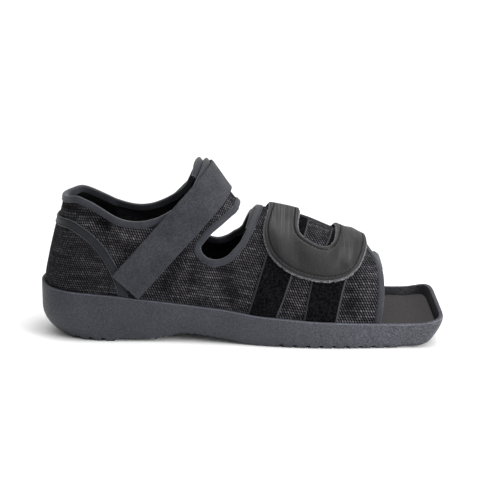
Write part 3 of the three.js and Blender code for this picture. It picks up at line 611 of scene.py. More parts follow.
def rounded_bar(width, low, high, radius):
    """A section with rounded corners, from its outer edge clockwise."""
    corners = [
        (radius, high - radius, 180),
        (width - radius, high - radius, 90),
        (width - radius, low + radius, 0),
        (radius, low + radius, -90),
    ]
    section = []
    for into, out, start in corners:
        for k in range(CORNER_STEPS + 1):
            turn = math.radians(start - 90 * k / CORNER_STEPS)
            section.append((into + radius * math.cos(turn), out + radius * math.sin(turn)))
    return section


def border(faces):
    """Edges that belong to one face only, in that face's direction."""
    edges = {(a, b) for face in faces for a, b in zip(face, face[1:] + face[:1])}
    return [(a, b) for a, b in edges if (b, a) not in edges]


def slab(name, high, low, faces, materials, uvs, slots):
    """A closed body between two copies of some faces, with materials for fronts, backs and walls."""
    count = len(high)
    fronts, backs, wall = slots
    back = [[i + count for i in reversed(face)] for face in faces]
    walls = [[b, a, a + count, b + count] for a, b in border(faces)]
    slots = [*fronts, *backs, *[wall] * len(walls)]
    points = np.vstack([high, low])
    return mesh_object(name, points, [*faces, *back, *walls], materials, np.vstack([uvs, uvs]), slots)


def layer(name, grid, faces, heights, shift, materials, edged):
    """A closed layer between two heights over the last. Its edged faces and walls take the last material."""
    flat = grid.reshape(-1, 3)
    normals, base = outward(flat), soft(shift)(flat)
    high, low = (flat + normals * (base + height)[:, None] for height in heights)
    wall = len(materials) - 1
    edged = edged.ravel() * wall
    return slab(name, high, low, faces.tolist(), materials, flat[:, [0, 2]], (edged, edged, wall))


class Patch:
    """Polygons over points that each carry a row of numbers, which cuts interpolate."""

    def __init__(self, rows_of, faces):
        self.rows = rows_of
        self.faces = [list(face) for face in faces]

    def cut(self, value):
        """Keeps what lies where value(rows) is below zero."""
        heights = value(self.rows)
        faces, made, fresh = [], {}, []

        def crossing(a, b):
            key = (min(a, b), max(a, b))
            if key not in made:
                share = heights[a] / (heights[a] - heights[b])
                made[key] = len(self.rows) + len(fresh)
                fresh.append(self.rows[a] + share * (self.rows[b] - self.rows[a]))
            return made[key]

        for face in self.faces:
            kept = [heights[i] < 0 for i in face]
            if all(kept):
                faces.append(face)
            elif any(kept):
                corners = []
                for i, a in enumerate(face):
                    b = face[(i + 1) % len(face)]
                    if heights[a] < 0:
                        corners.append(a)
                    if (heights[a] < 0) != (heights[b] < 0):
                        corners.append(crossing(a, b))
                if len(corners) > 2:
                    faces.append(corners)
        if fresh:
            self.rows = np.vstack([self.rows, fresh])
        self.faces = faces

    def tidy(self):
        used = sorted({i for face in self.faces for i in face})
        place = {old: new for new, old in enumerate(used)}
        self.rows = self.rows[used]
        self.faces = [[place[i] for i in face] for face in self.faces]


X, Y, Z, NX, NY, NZ, U, V, SIDE, OVER, SHIFT = range(11)


def last_patch(end, over):
    """The last's face as one patch: from the lateral side's front round the heel to the medial side's front.

    Rows rise from the section's foot to the ridge and, with over, on to the other side.
    """
    ahead = np.arange(HEEL_X, end + COLUMN_SPACING, COLUMN_SPACING)
    turns = np.linspace(0, math.pi / 2, FAN_STEPS + 1)[:-1]
    skirt = np.arange(SKIRT_STEPS) / SKIRT_STEPS
    angles = np.concatenate([np.zeros(SKIRT_STEPS), np.linspace(0, math.pi / 2, ROW_STEPS)])
    if over:
        angles = np.concatenate([angles, math.pi / 2 + np.linspace(0, OVER_TURN, OVER_STEPS + 1)[1:]])
    sides = []
    for side in (-1, 1):
        block = []
        for kind, at in [("heel", turn) for turn in turns] + [("side", x) for x in ahead]:
            start = HEEL_X if kind == "heel" else at
            half, z = section_at(start, angles)
            z[:SKIRT_STEPS] = mix(cup_floor(start) + GAP, foot_of(start), skirt)
            x = np.full(len(z), start, float)
            if kind == "heel":
                half = half * math.sin(at) ** (2 / HEEL_ROUND)
                x = HEEL_X - HEEL_REACH * heel_shift(z) * math.cos(at) ** (2 / HEEL_ROUND)
            block.append(np.stack([x, side * half, z, np.full(len(z), side), angles > math.pi / 2], axis=-1))
        sides.append(np.array(block, float))
    grid = np.concatenate([sides[0][::-1], sides[1][1:]])
    points, side, beyond = grid[..., :3], grid[..., 3], grid[..., 4]
    count_u, count_v = side.shape
    flat = points.reshape(-1, 3)
    u = distances(points[:, ROW_STEPS // 4])
    v = np.cumsum(np.linalg.norm(np.diff(points, axis=1, prepend=points[:, :1]), axis=2), axis=1)
    shift = np.where(side > 0, tuck(flat).reshape(side.shape), 0)
    numbers = np.stack([np.repeat(u[:, None], count_v, 1), v, side, beyond, shift], axis=-1)
    data = np.concatenate([points, outward(flat).reshape(points.shape), numbers], axis=-1)
    return Patch(data.reshape(-1, data.shape[-1]), grid_faces(count_u, count_v)[:, ::-1].tolist())


def relief(points):
    """Height of the creases at points, the same for every layer that lies on the upper."""
    x, y, z = points.T
    place = np.stack([x, z], axis=-1)
    height = np.zeros(len(points))
    for along, up, to_along, to_up, width, depth, side in zip(*CREASES.values()):
        ends = lengthwise(np.array([along, to_along]))
        a, b = np.stack([ends, mix(rim_top(ends), ridge(ends), np.array([up, to_up]))], axis=-1)
        share = (place - a) @ (b - a) / ((b - a) @ (b - a))
        away = np.linalg.norm(place - a - share.clip(0, 1)[:, None] * (b - a), axis=1)
        here = 1 if side == 0 else smooth_step(-8, 8, y * side)
        height += CREASE_DEPTH * depth * np.exp(-((away / width) ** 2)) * here
    return height * smooth_step(0.02, 0.12, rise_of(x, z)) * (1 - smooth_step(0.97, 1, rise_of(x, z)))


def soft(shift):
    """A shift that also follows the cloth's relief."""
    return lambda points: shift(points) + relief(points)


def shell(name, patch, inner, outer, materials, node):
    """A closed padded shell over a patch, between two distances from the last's face."""
    patch.tidy()
    points, normals = patch.rows[:, :3], unit(patch.rows[:, NX : NZ + 1])
    folds = relief(points)
    base = folds + patch.rows[:, SHIFT]
    high, low = (points + normals * (out + base)[:, None] for out in (outer, inner))
    count = len(patch.faces)
    slots = ([0] * count, [len(materials) - 1] * count, 0)
    obj = slab(name, high, low, patch.faces, materials, patch.rows[:, U : V + 1], slots)
    obj.data.attributes.new("relief_mm", "FLOAT", "POINT").data.foreach_set("value", np.tile(folds, 2))
    return finished(obj, node)


# Materials
class Look:
    """A node material with a few short calls."""

    def __init__(self, name, color, roughness, shine):
        self.material = bpy.data.materials.new(name)
        self.material.use_nodes = True
        self.material.diffuse_color = (*color, 1)
        self.tree = self.material.node_tree
        self.shader = self.tree.nodes["Principled BSDF"]
        self.set("Base Color", (*color, 1))
        self.set("Roughness", roughness)
        self.set("Specular IOR Level", shine)

    def set(self, name, value):
        self.shader.inputs[name].default_value = value

    def feed(self, value, socket):
        """Gives a socket a link, a number or a colour."""
        if isinstance(value, bpy.types.NodeSocket):
            self.tree.links.new(value, socket)
        else:
            socket.default_value = (*value, 1) if hasattr(value, "__len__") else value

    def node(self, kind, vector=None, **values):
        """A node with its properties and inputs set by name, and its vector input linked."""
        node = self.tree.nodes.new(kind)
        for key, value in values.items():
            if hasattr(node, key):
                setattr(node, key, value)
            else:
                self.feed(value, node.inputs[key.replace("_", " ").title()])
        if vector is not None:
            self.feed(vector, node.inputs["Vector"])
        return node

    def mapped(self, vector, scale):
        mapping = self.node("ShaderNodeMapping", vector)
        mapping.inputs["Scale"].default_value = scale
        return mapping.outputs[0]

    def cloth(self, scale=(1, 1, 1)):
        """The cloth's own coordinates, in millimetres, scaled."""
        return self.mapped(self.node("ShaderNodeUVMap", uv_map="cloth_mm").outputs[0], scale)

    def space(self, scale):
        """The object's coordinates, in millimetres over scale."""
        return self.mapped(self.node("ShaderNodeTexCoord").outputs["Object"], (1 / MM / scale,) * 3)

    def split(self, vector):
        return list(self.node("ShaderNodeSeparateXYZ", vector).outputs)

    def join(self, x, y):
        return self.node("ShaderNodeCombineXYZ", x=x, y=y).outputs[0]

    def noise(self, vector, scale=1, detail=3, roughness=0.55):
        noise = self.node("ShaderNodeTexNoise", vector, scale=scale, detail=detail, roughness=roughness)
        return noise.outputs["Fac"]

    def ramp(self, fac, *stops):
        """A colour ramp with stops of (place, colour or grey)."""
        ramp = self.node("ShaderNodeValToRGB", fac=fac)
        while len(ramp.color_ramp.elements) < len(stops):
            ramp.color_ramp.elements.new(0.5)
        for element, (place, color) in zip(ramp.color_ramp.elements, stops):
            element.position = place
            element.color = (*color, 1) if hasattr(color, "__len__") else (color, color, color, 1)
        return ramp.outputs[0]

    def blend(self, fac, a, b, mode="MIX"):
        mixer = self.node("ShaderNodeMix", data_type="RGBA", blend_type=mode)
        for value, index in ((fac, 0), (a, 6), (b, 7)):
            self.feed(value, mixer.inputs[index])
        return mixer.outputs[2]

    def clouded(self, color, scale, low, high):
        """A colour made darker and lighter in clouds: low and high are (place in the noise, factor)."""
        clouds = self.ramp(self.noise(self.space(scale), detail=4), low, high)
        return self.blend(1, color, clouds, "MULTIPLY")

    def math(self, operation, *values):
        node = self.node("ShaderNodeMath", operation=operation)
        for value, socket in zip(values, node.inputs):
            self.feed(value, socket)
        return node.outputs[0]

    def color(self, socket):
        self.feed(socket, self.shader.inputs["Base Color"])

    def rough(self, socket):
        self.feed(socket, self.shader.inputs["Roughness"])

    def bump(self, height, depth):
        """Bump of a height from 0 to 1 over a depth in millimetres, on top of any bump before it."""
        node = self.node("ShaderNodeBump", strength=1, distance=depth * MM)
        self.feed(height, node.inputs["Height"])
        last = self.shader.inputs["Normal"]
        if last.links:
            self.feed(last.links[0].from_socket, node.inputs["Normal"])
        self.feed(node.outputs[0], last)

    def sheen(self, weight):
        self.set("Sheen Weight", weight)
        self.set("Sheen Roughness", 0.5)
        self.set("Sheen Tint", (1, 1, 1, 1))


def mesh_look(name, pitch, row, glint_level):
    """Black spacer mesh: staggered rows of short leaning floats over dark holes, with painted glints on the
    floats that are brighter in runs.
    """
    look = Look(name, (0.01, 0.0095, 0.0105), 0.8, shine=0.03)
    do = look.math
    cloth = look.cloth()
    x, y, _ = look.split(cloth)
    drift = look.noise(cloth, scale=0.09, detail=2)
    rise = do("ADD", do("DIVIDE", y, row), do("MULTIPLY", drift, 0.5))
    row_number = do("FLOOR", rise)
    up = do("SUBTRACT", do("FRACT", rise), 0.5)
    leaning = do("SUBTRACT", do("DIVIDE", x, pitch), do("MULTIPLY", up, 0.45))
    shifted = do("ADD", leaning, do("MULTIPLY", row_number, 0.5))
    across = do("SUBTRACT", do("FRACT", shifted), 0.5)
    away = do("ADD", do("POWER", do("MULTIPLY", across, 2.6), 2), do("POWER", do("MULTIPLY", up, 1.9), 2))
    float_height = look.node("ShaderNodeMapRange", interpolation_type="SMOOTHSTEP")
    for socket, value in zip(float_height.inputs, (away, 1.15, 0.25, 0, 1)):
        look.feed(value, socket)
    height = float_height.outputs[0]
    cell = look.join(do("FLOOR", shifted), row_number)
    chance = look.node("ShaderNodeTexWhiteNoise", cell, noise_dimensions="2D").outputs[0]
    # Painted glints: each float is lit at random, more strongly in runs along the rows, as a painted
    # highlight
    run = look.noise(look.join(do("MULTIPLY", x, 0.035), do("MULTIPLY", row_number, 0.61)))
    bands = look.ramp(run, (0.36, 0.3), (0.52, 0.55), (0.66, 1))
    glint = do("MULTIPLY", do("MULTIPLY_ADD", chance, 0.65, 0.35), bands)
    ground = look.blend(height, (0.0008, 0.0008, 0.0011), (0.0085, 0.008, 0.0103))
    yarn_with_glints = look.blend(do("MULTIPLY", glint, height), ground, (glint_level, glint_level * 0.97, glint_level * 1.06))
    fold = look.node("ShaderNodeAttribute", attribute_name="relief_mm").outputs["Fac"]
    # Painted shade in the creases' troughs and painted light on their ridges, from the relief
    shade = look.ramp(do("MULTIPLY_ADD", fold, 0.2, 0.5), (0.15, 0.35), (0.5, 0.95), (0.85, 1.25))
    look.color(look.blend(1, yarn_with_glints, shade, "MULTIPLY"))
    look.bump(height, 0.25)
    look.rough(look.ramp(chance, (0.2, 0.85), (0.9, 0.6)))
    return look.material


def binding_look():
    """Slate folded tape: a smooth close knit with faint lengthwise ribs."""
    look = Look("slate_binding", (0.04, 0.043, 0.052), 0.62, shine=0.2)
    ribs = look.node("ShaderNodeTexWave", look.cloth(), wave_type="BANDS", bands_direction="Y",
                     scale=0.35, distortion=1.2)
    tone = look.noise(look.space(9), detail=4)
    look.color(look.ramp(tone, (0.3, (0.0125, 0.014, 0.019)), (0.7, (0.024, 0.026, 0.0335))))
    look.bump(ribs.outputs["Fac"], 0.06)
    look.bump(look.noise(look.space(0.5), detail=2), 0.06)
    look.sheen(0.2)
    return look.material


def tape_look():
    """The counter's flat tape: dark slate with a paler woven edge on both sides."""
    look = Look("dark_slate_tape", (0.03, 0.033, 0.042), 0.6, shine=0.2)
    across = look.math("DIVIDE", look.split(look.cloth())[1], TAPE_WIDTH)
    plain, pale = (0.0065, 0.0075, 0.011), (0.029, 0.031, 0.0375)
    edges = look.ramp(across, (0.0, pale), (0.07, pale), (0.12, plain), (0.9, plain), (0.95, pale))
    look.color(look.clouded(edges, 5, (0.35, 0.75), (0.65, 1.2)))
    look.bump(look.noise(look.cloth((1.6, 0.5, 1)), detail=2), 0.09)
    look.sheen(0.15)
    return look.material


def webbing_look():
    """Dark grey webbing: a fine close weave with a soft face."""
    look = Look("grey_webbing", (0.045, 0.047, 0.054), 0.8, shine=0.1)
    weave = look.node(
        "ShaderNodeTexBrick", look.cloth(), offset=0.5, scale=1, brick_width=1.3, row_height=0.85,
        mortar_size=0.16, mortar_smooth=1, color1=(0.028, 0.0295, 0.036), color2=(0.046, 0.0485, 0.058),
        mortar=(0.012, 0.013, 0.016),
    )
    look.color(look.clouded(weave.outputs["Color"], 14, (0.35, 0.78), (0.65, 1.15)))
    look.bump(look.math("SUBTRACT", 1, weave.outputs["Fac"]), 0.2)
    look.bump(look.noise(look.space(0.4), detail=2), 0.08)
    look.sheen(0.1)
    return look.material


def pile_look(name, dark, light):
    """Brushed loop pile, or the hooks' rough back."""
    look = Look(name, dark, 0.95, shine=0.04)
    pile = look.noise(look.space(1.5), detail=6, roughness=0.75)
    look.color(look.ramp(pile, (0.44, dark), (0.6, light)))
    look.bump(pile, 0.9)
    look.bump(look.noise(look.space(3.5)), 0.5)
    return look.material


def leatherette_look():
    """Charcoal leatherette: fine grain, a soft gloss and paler streaks painted as a highlight across the
    strip where it faces up.
    """
    look = Look("charcoal_leatherette", (0.006, 0.006, 0.0065), 0.36, shine=0.22)
    grain = look.node("ShaderNodeTexVoronoi", look.space(1), feature="DISTANCE_TO_EDGE", scale=1.1)
    pores = look.ramp(grain.outputs["Distance"], (0.0, 0.0), (0.12, 1.0))
    patches = look.noise(look.space(26))
    tone = look.ramp(patches, (0.3, (0.004, 0.004, 0.0045)), (0.72, (0.008, 0.008, 0.0085)))
    # Painted highlight: pale streaks only where the surface faces up
    facing = look.split(look.node("ShaderNodeNewGeometry").outputs["Normal"])[2]
    upward_highlight = look.ramp(facing, (0.66, 0.0), (0.95, 1.0))
    highlight_streaks = look.ramp(look.noise(look.cloth((1.7, 0.03, 1)), detail=5), (0.5, 0.0), (0.66, 1.0))
    look.color(look.blend(look.math("MULTIPLY", upward_highlight, highlight_streaks), tone, (0.07, 0.07, 0.071)))
    look.bump(pores, 0.05)
    look.bump(look.noise(look.space(5)), 0.2)
    streaks = look.noise(look.cloth((0.7, 0.035, 1)), detail=4)
    look.bump(streaks, 0.1)
    look.rough(look.ramp(streaks, (0.3, 0.34), (0.7, 0.46)))
    look.set("Coat Weight", 0.06)
    look.set("Coat Roughness", 0.3)
    return look.material


def rubber_look(name, lift):
    """Slate moulded foam rubber: fine grain at the heel that grows to coarser pebbles at the toe, painted
    paler there as painted light on the toe.
    """
    look = Look(name, (0.04, 0.042, 0.051), 0.55, shine=0.3)
    speck = look.noise(look.space(1.25), detail=5, roughness=0.7)
    pebble = look.noise(look.space(1.1), roughness=0.5)
    cloud = look.noise(look.space(30), detail=4)
    along = look.math("ADD", look.split(look.space(LENGTH))[0], 0.5)
    ahead = look.ramp(along, (0.3, 0.0), (0.92, 1.0))
    fine = look.ramp(speck, (0.36, (0.0165, 0.0175, 0.0235)), (0.64, (0.038, 0.0405, 0.051)))
    # The toe's coarser pebbles are real; their paler colour is painted light on the toe
    coarse_pebble_lit = look.ramp(pebble, (0.38, (0.024, 0.025, 0.032)), (0.62, (0.068, 0.0705, 0.084)))
    # lift scales the whole colour: above 1 a painted highlight, below 1 a painted shade
    clouds = look.ramp(cloud, (0.35, 0.84 * lift), (0.68, 1.12 * lift))
    look.color(look.blend(1, look.blend(ahead, fine, coarse_pebble_lit), clouds, "MULTIPLY"))
    look.bump(speck, 0.28)
    look.bump(look.math("MULTIPLY", pebble, ahead), 0.55)
    look.bump(look.noise(look.space(1.6)), 0.2)
    look.bump(cloud, 0.5)
    look.rough(look.ramp(speck, (0.3, 0.6), (0.7, 0.44)))
    return look.material


def insole_look():
    look = Look("black_insole", (0.035, 0.0325, 0.0335), 0.9, shine=0.06)
    speck = look.noise(look.space(0.9), detail=4, roughness=0.65)
    look.color(look.ramp(speck, (0.34, (0.033, 0.031, 0.032)), (0.66, (0.056, 0.0525, 0.054))))
    look.bump(speck, 0.12)
    look.bump(look.noise(look.space(18)), 0.5)
    return look.material


def thread_look(name, color):
    look = Look(name, color, 0.7, shine=0.2)
    look.color(look.ramp(look.noise(look.space(1.1)), (0.3, [c * 0.7 for c in color]), (0.7, color)))
    look.bump(look.noise(look.space(0.25)), 0.05)
    return look.material


MESH = mesh_look("black_air_mesh", 1.85, 1.95, 0.125)
COUNTER_MESH = mesh_look("black_counter_mesh", 1.6, 1.65, 0.085)
LINING = mesh_look("black_lining", 1.3, 1.2, 0.02)
BINDING = binding_look()
TAPE = tape_look()
WEBBING = webbing_look()
LOOPS = pile_look("black_loop_pile", (0.0006, 0.0006, 0.0008), (0.0075, 0.0075, 0.0088))
HOOKS = pile_look("grey_hook_backing", (0.06, 0.06, 0.064), (0.22, 0.215, 0.23))
LEATHERETTE = leatherette_look()
RUBBER = rubber_look("slate_rubber", 1)
# Copies of the rubber: paler as a painted highlight on the rim's top, darker as a painted shade on the cup's
# inner wall
RIM_HIGHLIGHT_RUBBER = rubber_look("slate_rubber_rim_highlight", 1.9)
CUP_SHADE_RUBBER = rubber_look("slate_rubber_cup_shade", 0.4)
INSOLE = insole_look()
TAPE_THREAD = thread_look("slate_thread", (0.02, 0.0215, 0.027))
DARK_THREAD = thread_look("dark_thread", (0.003, 0.003, 0.0035))
SELVEDGE = thread_look("grey_selvedge", (0.026, 0.0265, 0.03))
CUT_EDGE = thread_look("grey_cut_edge", (0.09, 0.09, 0.097))


# Sole
def plan_ring(stations, inset):
    """Points of the plan outline at an inset, for stations of (kind, place).

    The places of the heel's and the toe's stations are turns, those of the side's are x.
    """
    out = []
    for (kind, at), inward in zip(stations, inset):
        if kind == "side":
            out.append((at, side_half(at) - inward))
            continue
        heel = kind == "heel"
        power = 2 / (HEEL_ROUND if heel else TOE_ROUND)
        start, reach = (HEEL_X, HEEL_LENGTH) if heel else (TOE_X, TOE_LENGTH)
        half = max(0.0, math.sin(at)) ** power * (side_half(start) - inward)
        out.append((start + (-1 if heel else 1) * abs(math.cos(at)) ** power * (reach - inward), half))
    return np.array(out)


def tuck_in(x):
    """How far the foot of the sole's side lies inside its widest line, and the curve by which it comes in."""
    heel = 1 - smooth_step(-LENGTH / 2, HEEL_X + HEEL_LENGTH / 3, x)
    toe = smooth_step(TOE_X + TOE_LENGTH / 3, LENGTH / 2, x)
    reach = SIDE_TUCK + (HEEL_TUCK - SIDE_TUCK) * heel + (TOE_TUCK - SIDE_TUCK) * toe
    return reach, mix(TUCK_CURVE, TOE_TUCK_CURVE, toe)


ARCH_TEETH = (lengthwise(TOOTHED[0]), lengthwise(TOOTHED[1]))
GROOVES = [lengthwise(LUG_START) + i * LUG_PITCH for i in range(LUG_COUNT)]
GROOVES += [lengthwise(HEEL_LUG_START) + i * LUG_PITCH for i in range(HEEL_LUG_COUNT)]
GROOVE_EDGES = [
    groove + way * LUG_GAP / 2 + slope
    for groove in GROOVES
    for way in (-1, 1)
    for slope in (-LUG_SLOPE, LUG_SLOPE)
]


def lug_bottom(x):
    """The underside with its grooves, the arch's fine teeth, and the reliefs beside the heel's lugs."""
    z = underside(x)
    along = x / LENGTH + 0.5
    smooth = (along < HEEL_BACK_END) | ((along > HEEL_FRONT[0]) & (along < HEEL_FRONT[1]))
    bottom = np.where(smooth, np.maximum(z, HEEL_RELIEF), z)
    phase = (x - ARCH_TEETH[0]) / TEETH_PITCH % 1
    toothed = smooth_step(ARCH_TEETH[0], ARCH_TEETH[0] + TEETH_FADE, x)
    toothed = toothed * (1 - smooth_step(ARCH_TEETH[1] - TEETH_FADE, ARCH_TEETH[1], x))
    bottom = bottom + TEETH_DEPTH * toothed * np.minimum(phase / TEETH_CREST, (1 - phase) / (1 - TEETH_CREST))
    for groove in GROOVES:
        cut = 1 - smooth_step(LUG_GAP / 2 - LUG_SLOPE, LUG_GAP / 2 + LUG_SLOPE, np.abs(x - groove))
        bottom = np.maximum(bottom, z + LUG_DEPTH * cut)
    return bottom


def end_turns(start, way, reach, power):
    """Turns of an end's stations: evenly spread, and at the edges of the grooves that cross it."""
    turns = set(np.linspace(0, math.pi / 2, 26)[:-1].round(4))
    for edge in GROOVE_EDGES:
        share = (edge - start) * way / reach
        if 0 < share < 1:
            turns.add(round(math.acos(share ** (power / 2)), 4))
    return sorted(turns)


def sole_stations():
    teeth = np.arange(*ARCH_TEETH, TEETH_PITCH)
    crests = teeth + TEETH_CREST * TEETH_PITCH
    grooves = [x for x in GROOVE_EDGES if HEEL_X < x < TOE_X]
    sides = [*np.arange(HEEL_X, TOE_X + 0.1, STATION_SPACING), *teeth, *crests, *grooves]
    sides = sorted({round(x, 2) for x in sides})
    kept = [x for i, x in enumerate(sides) if i == 0 or x - sides[i - 1] > 0.3]
    heel = [("heel", turn) for turn in end_turns(HEEL_X, -1, HEEL_LENGTH - HEEL_TUCK * 0.6, HEEL_ROUND)]
    toe = [("toe", turn) for turn in end_turns(TOE_X, 1, TOE_LENGTH - TOE_TUCK * 0.6, TOE_ROUND)]
    return [*heel, *[("side", x) for x in kept], *toe[::-1]]


def ring_of(stations, inset, height):
    """One closed level: along the lateral side from heel to toe, and back along the medial side."""
    plan = plan_ring(stations, np.broadcast_to(inset, len(stations)).astype(float))
    lateral = np.stack([plan[:, 0], -plan[:, 1], height(plan[:, 0])], axis=-1)
    return np.vstack([lateral, mirrored(lateral)])


def stacked(name, rings, materials, smooth_angle, bands):
    """A closed body from levels, each cap joining the points of the two sides that face each other.

    The bands between levels take the first material, or the one whose number bands names.
    """
    count = len(rings[0])
    faces = grid_faces(len(rings), count, closed=True)[:, ::-1].tolist()
    slots = [bands.get(i // count, 0) for i in range(len(faces))]
    top = (len(rings) - 1) * count
    for i in range(count // 2 - 1):
        a, b, c, d = i, i + 1, count - 2 - i, count - 1 - i
        faces += [[b, a, d, c], [top + a, top + b, top + c, top + d]]
        slots += [0, 0]
    points = np.vstack(rings)
    obj = mesh_object(name, points, faces, materials, points[:, :2], slots)
    weld(obj, 0.01)
    sharpen(obj, smooth_angle)
    return obj


def build_sole():
    stations = sole_stations()
    x_of = plan_ring(stations, np.zeros(len(stations)))[:, 0]
    tucked, curve = tuck_in(x_of)
    height = lambda x: np.minimum(TUCK_HEIGHT, rim_top(x) - underside(x) - TUCK_CLEAR)
    rings = []
    for level in SIDE_LEVELS:
        inset = tucked * (1 - level) ** curve + (0.5 if level == 0 else 0)
        low = lug_bottom if level < 0.1 else underside
        rings.append(ring_of(stations, inset, lambda x: low(x) + level * height(x)))
    for turn in np.radians((0, 22, 45, 68, 90)):
        drop = RIM_OUTSIDE_EDGE * (1 - math.sin(turn))
        rings.append(ring_of(stations, RIM_OUTSIDE_EDGE * (1 - math.cos(turn)), lambda x: rim_top(x) - drop))
    for turn in np.radians((60, 30, 0)):
        drop = RIM_INSIDE_EDGE * (1 - math.sin(turn))
        inset = RIM_WALL - RIM_INSIDE_EDGE * (1 - math.cos(turn))
        rings.append(ring_of(stations, inset, lambda x: rim_top(x) - drop))
    toe_in = CUP_TOE_INSET * smooth_step(TOE_X, TOE_X + TOE_LENGTH / 3, x_of)
    rings.append(ring_of(stations, RIM_WALL + toe_in * 0.25, lambda x: mix(cup_floor(x), rim_top(x), 0.5)))
    rings.append(ring_of(stations, RIM_WALL + toe_in, cup_floor))
    # The rim's lip takes the painted highlight copy, the inner wall below it the painted shade copy
    lip_highlight = {len(SIDE_LEVELS) + i: 1 for i in (0, 1)}
    inner_wall_shade = {len(rings) - i: 2 for i in (2, 3, 4)}
    materials = [RUBBER, RIM_HIGHLIGHT_RUBBER, CUP_SHADE_RUBBER]
    finished(stacked("moulded_sole", rings, materials, 38, {**lip_highlight, **inner_wall_shade}), "sole")


def build_insole():
    stations = sole_stations()[::2]
    x_of = plan_ring(stations, np.zeros(len(stations)))[:, 0]
    toe_in = (CUP_TOE_INSET + 0.1) * smooth_step(TOE_X, TOE_X + TOE_LENGTH / 3, x_of)
    inset = UPPER_INSET + (WALL + GAP) * (1 - along_step(BARE_TOE, x_of)) + toe_in
    bottom = lambda x: cup_floor(x) + GAP
    rings = [ring_of(stations, inset + 0.2, bottom), ring_of(stations, inset, lambda x: bottom(x) + 0.5)]
    for turn in np.radians((0, 30, 60, 90)):
        top = INSOLE_THICKNESS - INSOLE_EDGE * (1 - math.sin(turn))
        rings.append(ring_of(stations, inset + INSOLE_EDGE * (1 - math.cos(turn)), lambda x: bottom(x) + top))
    for extra in (4, 9, 15, 22):
        top = INSOLE_THICKNESS - 0.012 * extra * (22 - extra) / 5
        rings.append(ring_of(stations, inset + extra, lambda x: bottom(x) + top))
    finished(stacked("insole_board", rings, [INSOLE], 60, {}), "insole")


# Upper
def build_upper():
    patch = last_patch(lengthwise(UPPER_REACH), over=True)
    lateral_cut = cutaway(COLLAR, OPENING, TOE_EDGE)
    medial_cut = cutaway(MEDIAL_COLLAR, MEDIAL_OPENING, MEDIAL_TOE_EDGE)
    toe_top = edge_on(TOE_EDGE, -1)[0][0]

    def keeps_out(k):
        def value(data):
            flat = data[:, [X, Z]]
            lateral = -signed_distance(flat, lateral_cut[k])
            medial = -signed_distance(flat, medial_cut[k])
            if k == 2:
                lateral = np.where(data[:, OVER] > 0.5, data[:, X] - toe_top, lateral)
            return np.where(data[:, SIDE] < 0, lateral, medial) + BINDING_HIDES
        return value

    for k in range(3):
        patch.cut(keeps_out(k))
    patch.cut(lambda data: -data[:, SIDE] * data[:, Y] - FLAP_OVERLAP)
    shell("mesh_upper", patch, -WALL, 0, [MESH, LINING], "upper")


def build_counter():
    patch = last_patch(lengthwise(COUNTER_REACH), over=False)
    edge = spline(side_points(COUNTER_EDGE), 100)
    region = np.vstack([edge, [(edge[-1][0], -FAR), (-FAR, -FAR), (-FAR, edge[0][1])]])
    patch.cut(lambda data: signed_distance(data[:, [X, Z]], region) + TAPE_WIDTH - 1.5)
    patch.cut(lambda data: rim_top(data[:, X]) + GAP - data[:, Z])
    shell("counter_overlay", patch, GAP, GAP + OVERLAY, [COUNTER_MESH], "heel_counter")


def folded_section(width=BINDING_WIDTH, proud=0.75):
    """A folded tape round the wall's edge: outer leg, round nose and inner leg."""
    nose = WALL / 2 + proud
    section = [(width, 0.05), (width - 0.25, proud * 0.75), (width - 0.8, proud)]
    section += [(at, proud + 0.12 * math.sin(math.pi * at / width)) for at in (3.4, 2.4, 1.6)]
    for turn in np.radians(np.linspace(90, 270, 11)):
        section.append((0.9 + 0.9 * math.cos(turn), -WALL / 2 + nose * math.sin(turn)))
    low = -WALL - proud
    section += [(2.4, low), (width - 0.8, low), (width - 0.25, -WALL - proud * 0.75), (width, -WALL - 0.05)]
    return section


def build_bindings():
    lateral_collar = with_end(edge_on(COLLAR, -1))
    medial_collar = with_end(edge_on(MEDIAL_COLLAR, 1))[1:][::-1]
    lateral_toe, medial_toe = edge_on(TOE_EDGE, -1), edge_on(MEDIAL_TOE_EDGE, 1)
    ends = lambda points: np.vstack([past_ridge(points), with_end(points)])
    tucked_first = lambda points: np.where(np.arange(len(points)) < len(points) / 2, tuck(points), 0)
    jobs = [
        ("collar", np.vstack([medial_collar, lateral_collar]), 1, tucked_first),
        ("lateral_opening", ends(edge_on(OPENING, -1)), 1, no_shift),
        ("medial_opening", ends(edge_on(MEDIAL_OPENING, 1)), -1, tuck),
        ("lateral_toe", np.vstack([straight_over(lateral_toe[0]), lateral_toe]), 1, no_shift),
        ("medial_toe", np.vstack([past_ridge(medial_toe), medial_toe]), -1, tuck),
    ]
    for name, path, hand, shift in jobs:
        rings, along = ribbon(path, hand, folded_section(), soft(shift))
        finished(tube(f"{name}_tape", rings, along, BINDING, hand), f"{name}_binding")
        into = BINDING_WIDTH - 1.2
        stitch_row(f"{name}_tape_stitches", path, hand, into, 0.8, TAPE_THREAD, shift)


def build_counter_tape():
    path = np.vstack([edge_on(COUNTER_EDGE, 1)[1:][::-1], edge_on(COUNTER_EDGE, -1)])
    path = path[path[:, 2] > rim_top(path[:, 0]) - 2]
    rings, along = ribbon(path, 1, rounded_bar(TAPE_WIDTH, 0.35, 1.75, 0.55), soft(no_shift))
    finished(tube("counter_edge_tape", rings, along, TAPE), "counter_tape")
    for k, into in enumerate((1.1, TAPE_WIDTH - 1.1)):
        stitch_row(f"counter_stitches_{k}", path, 1, into, 1.78, DARK_THREAD, no_shift, radius=0.3)


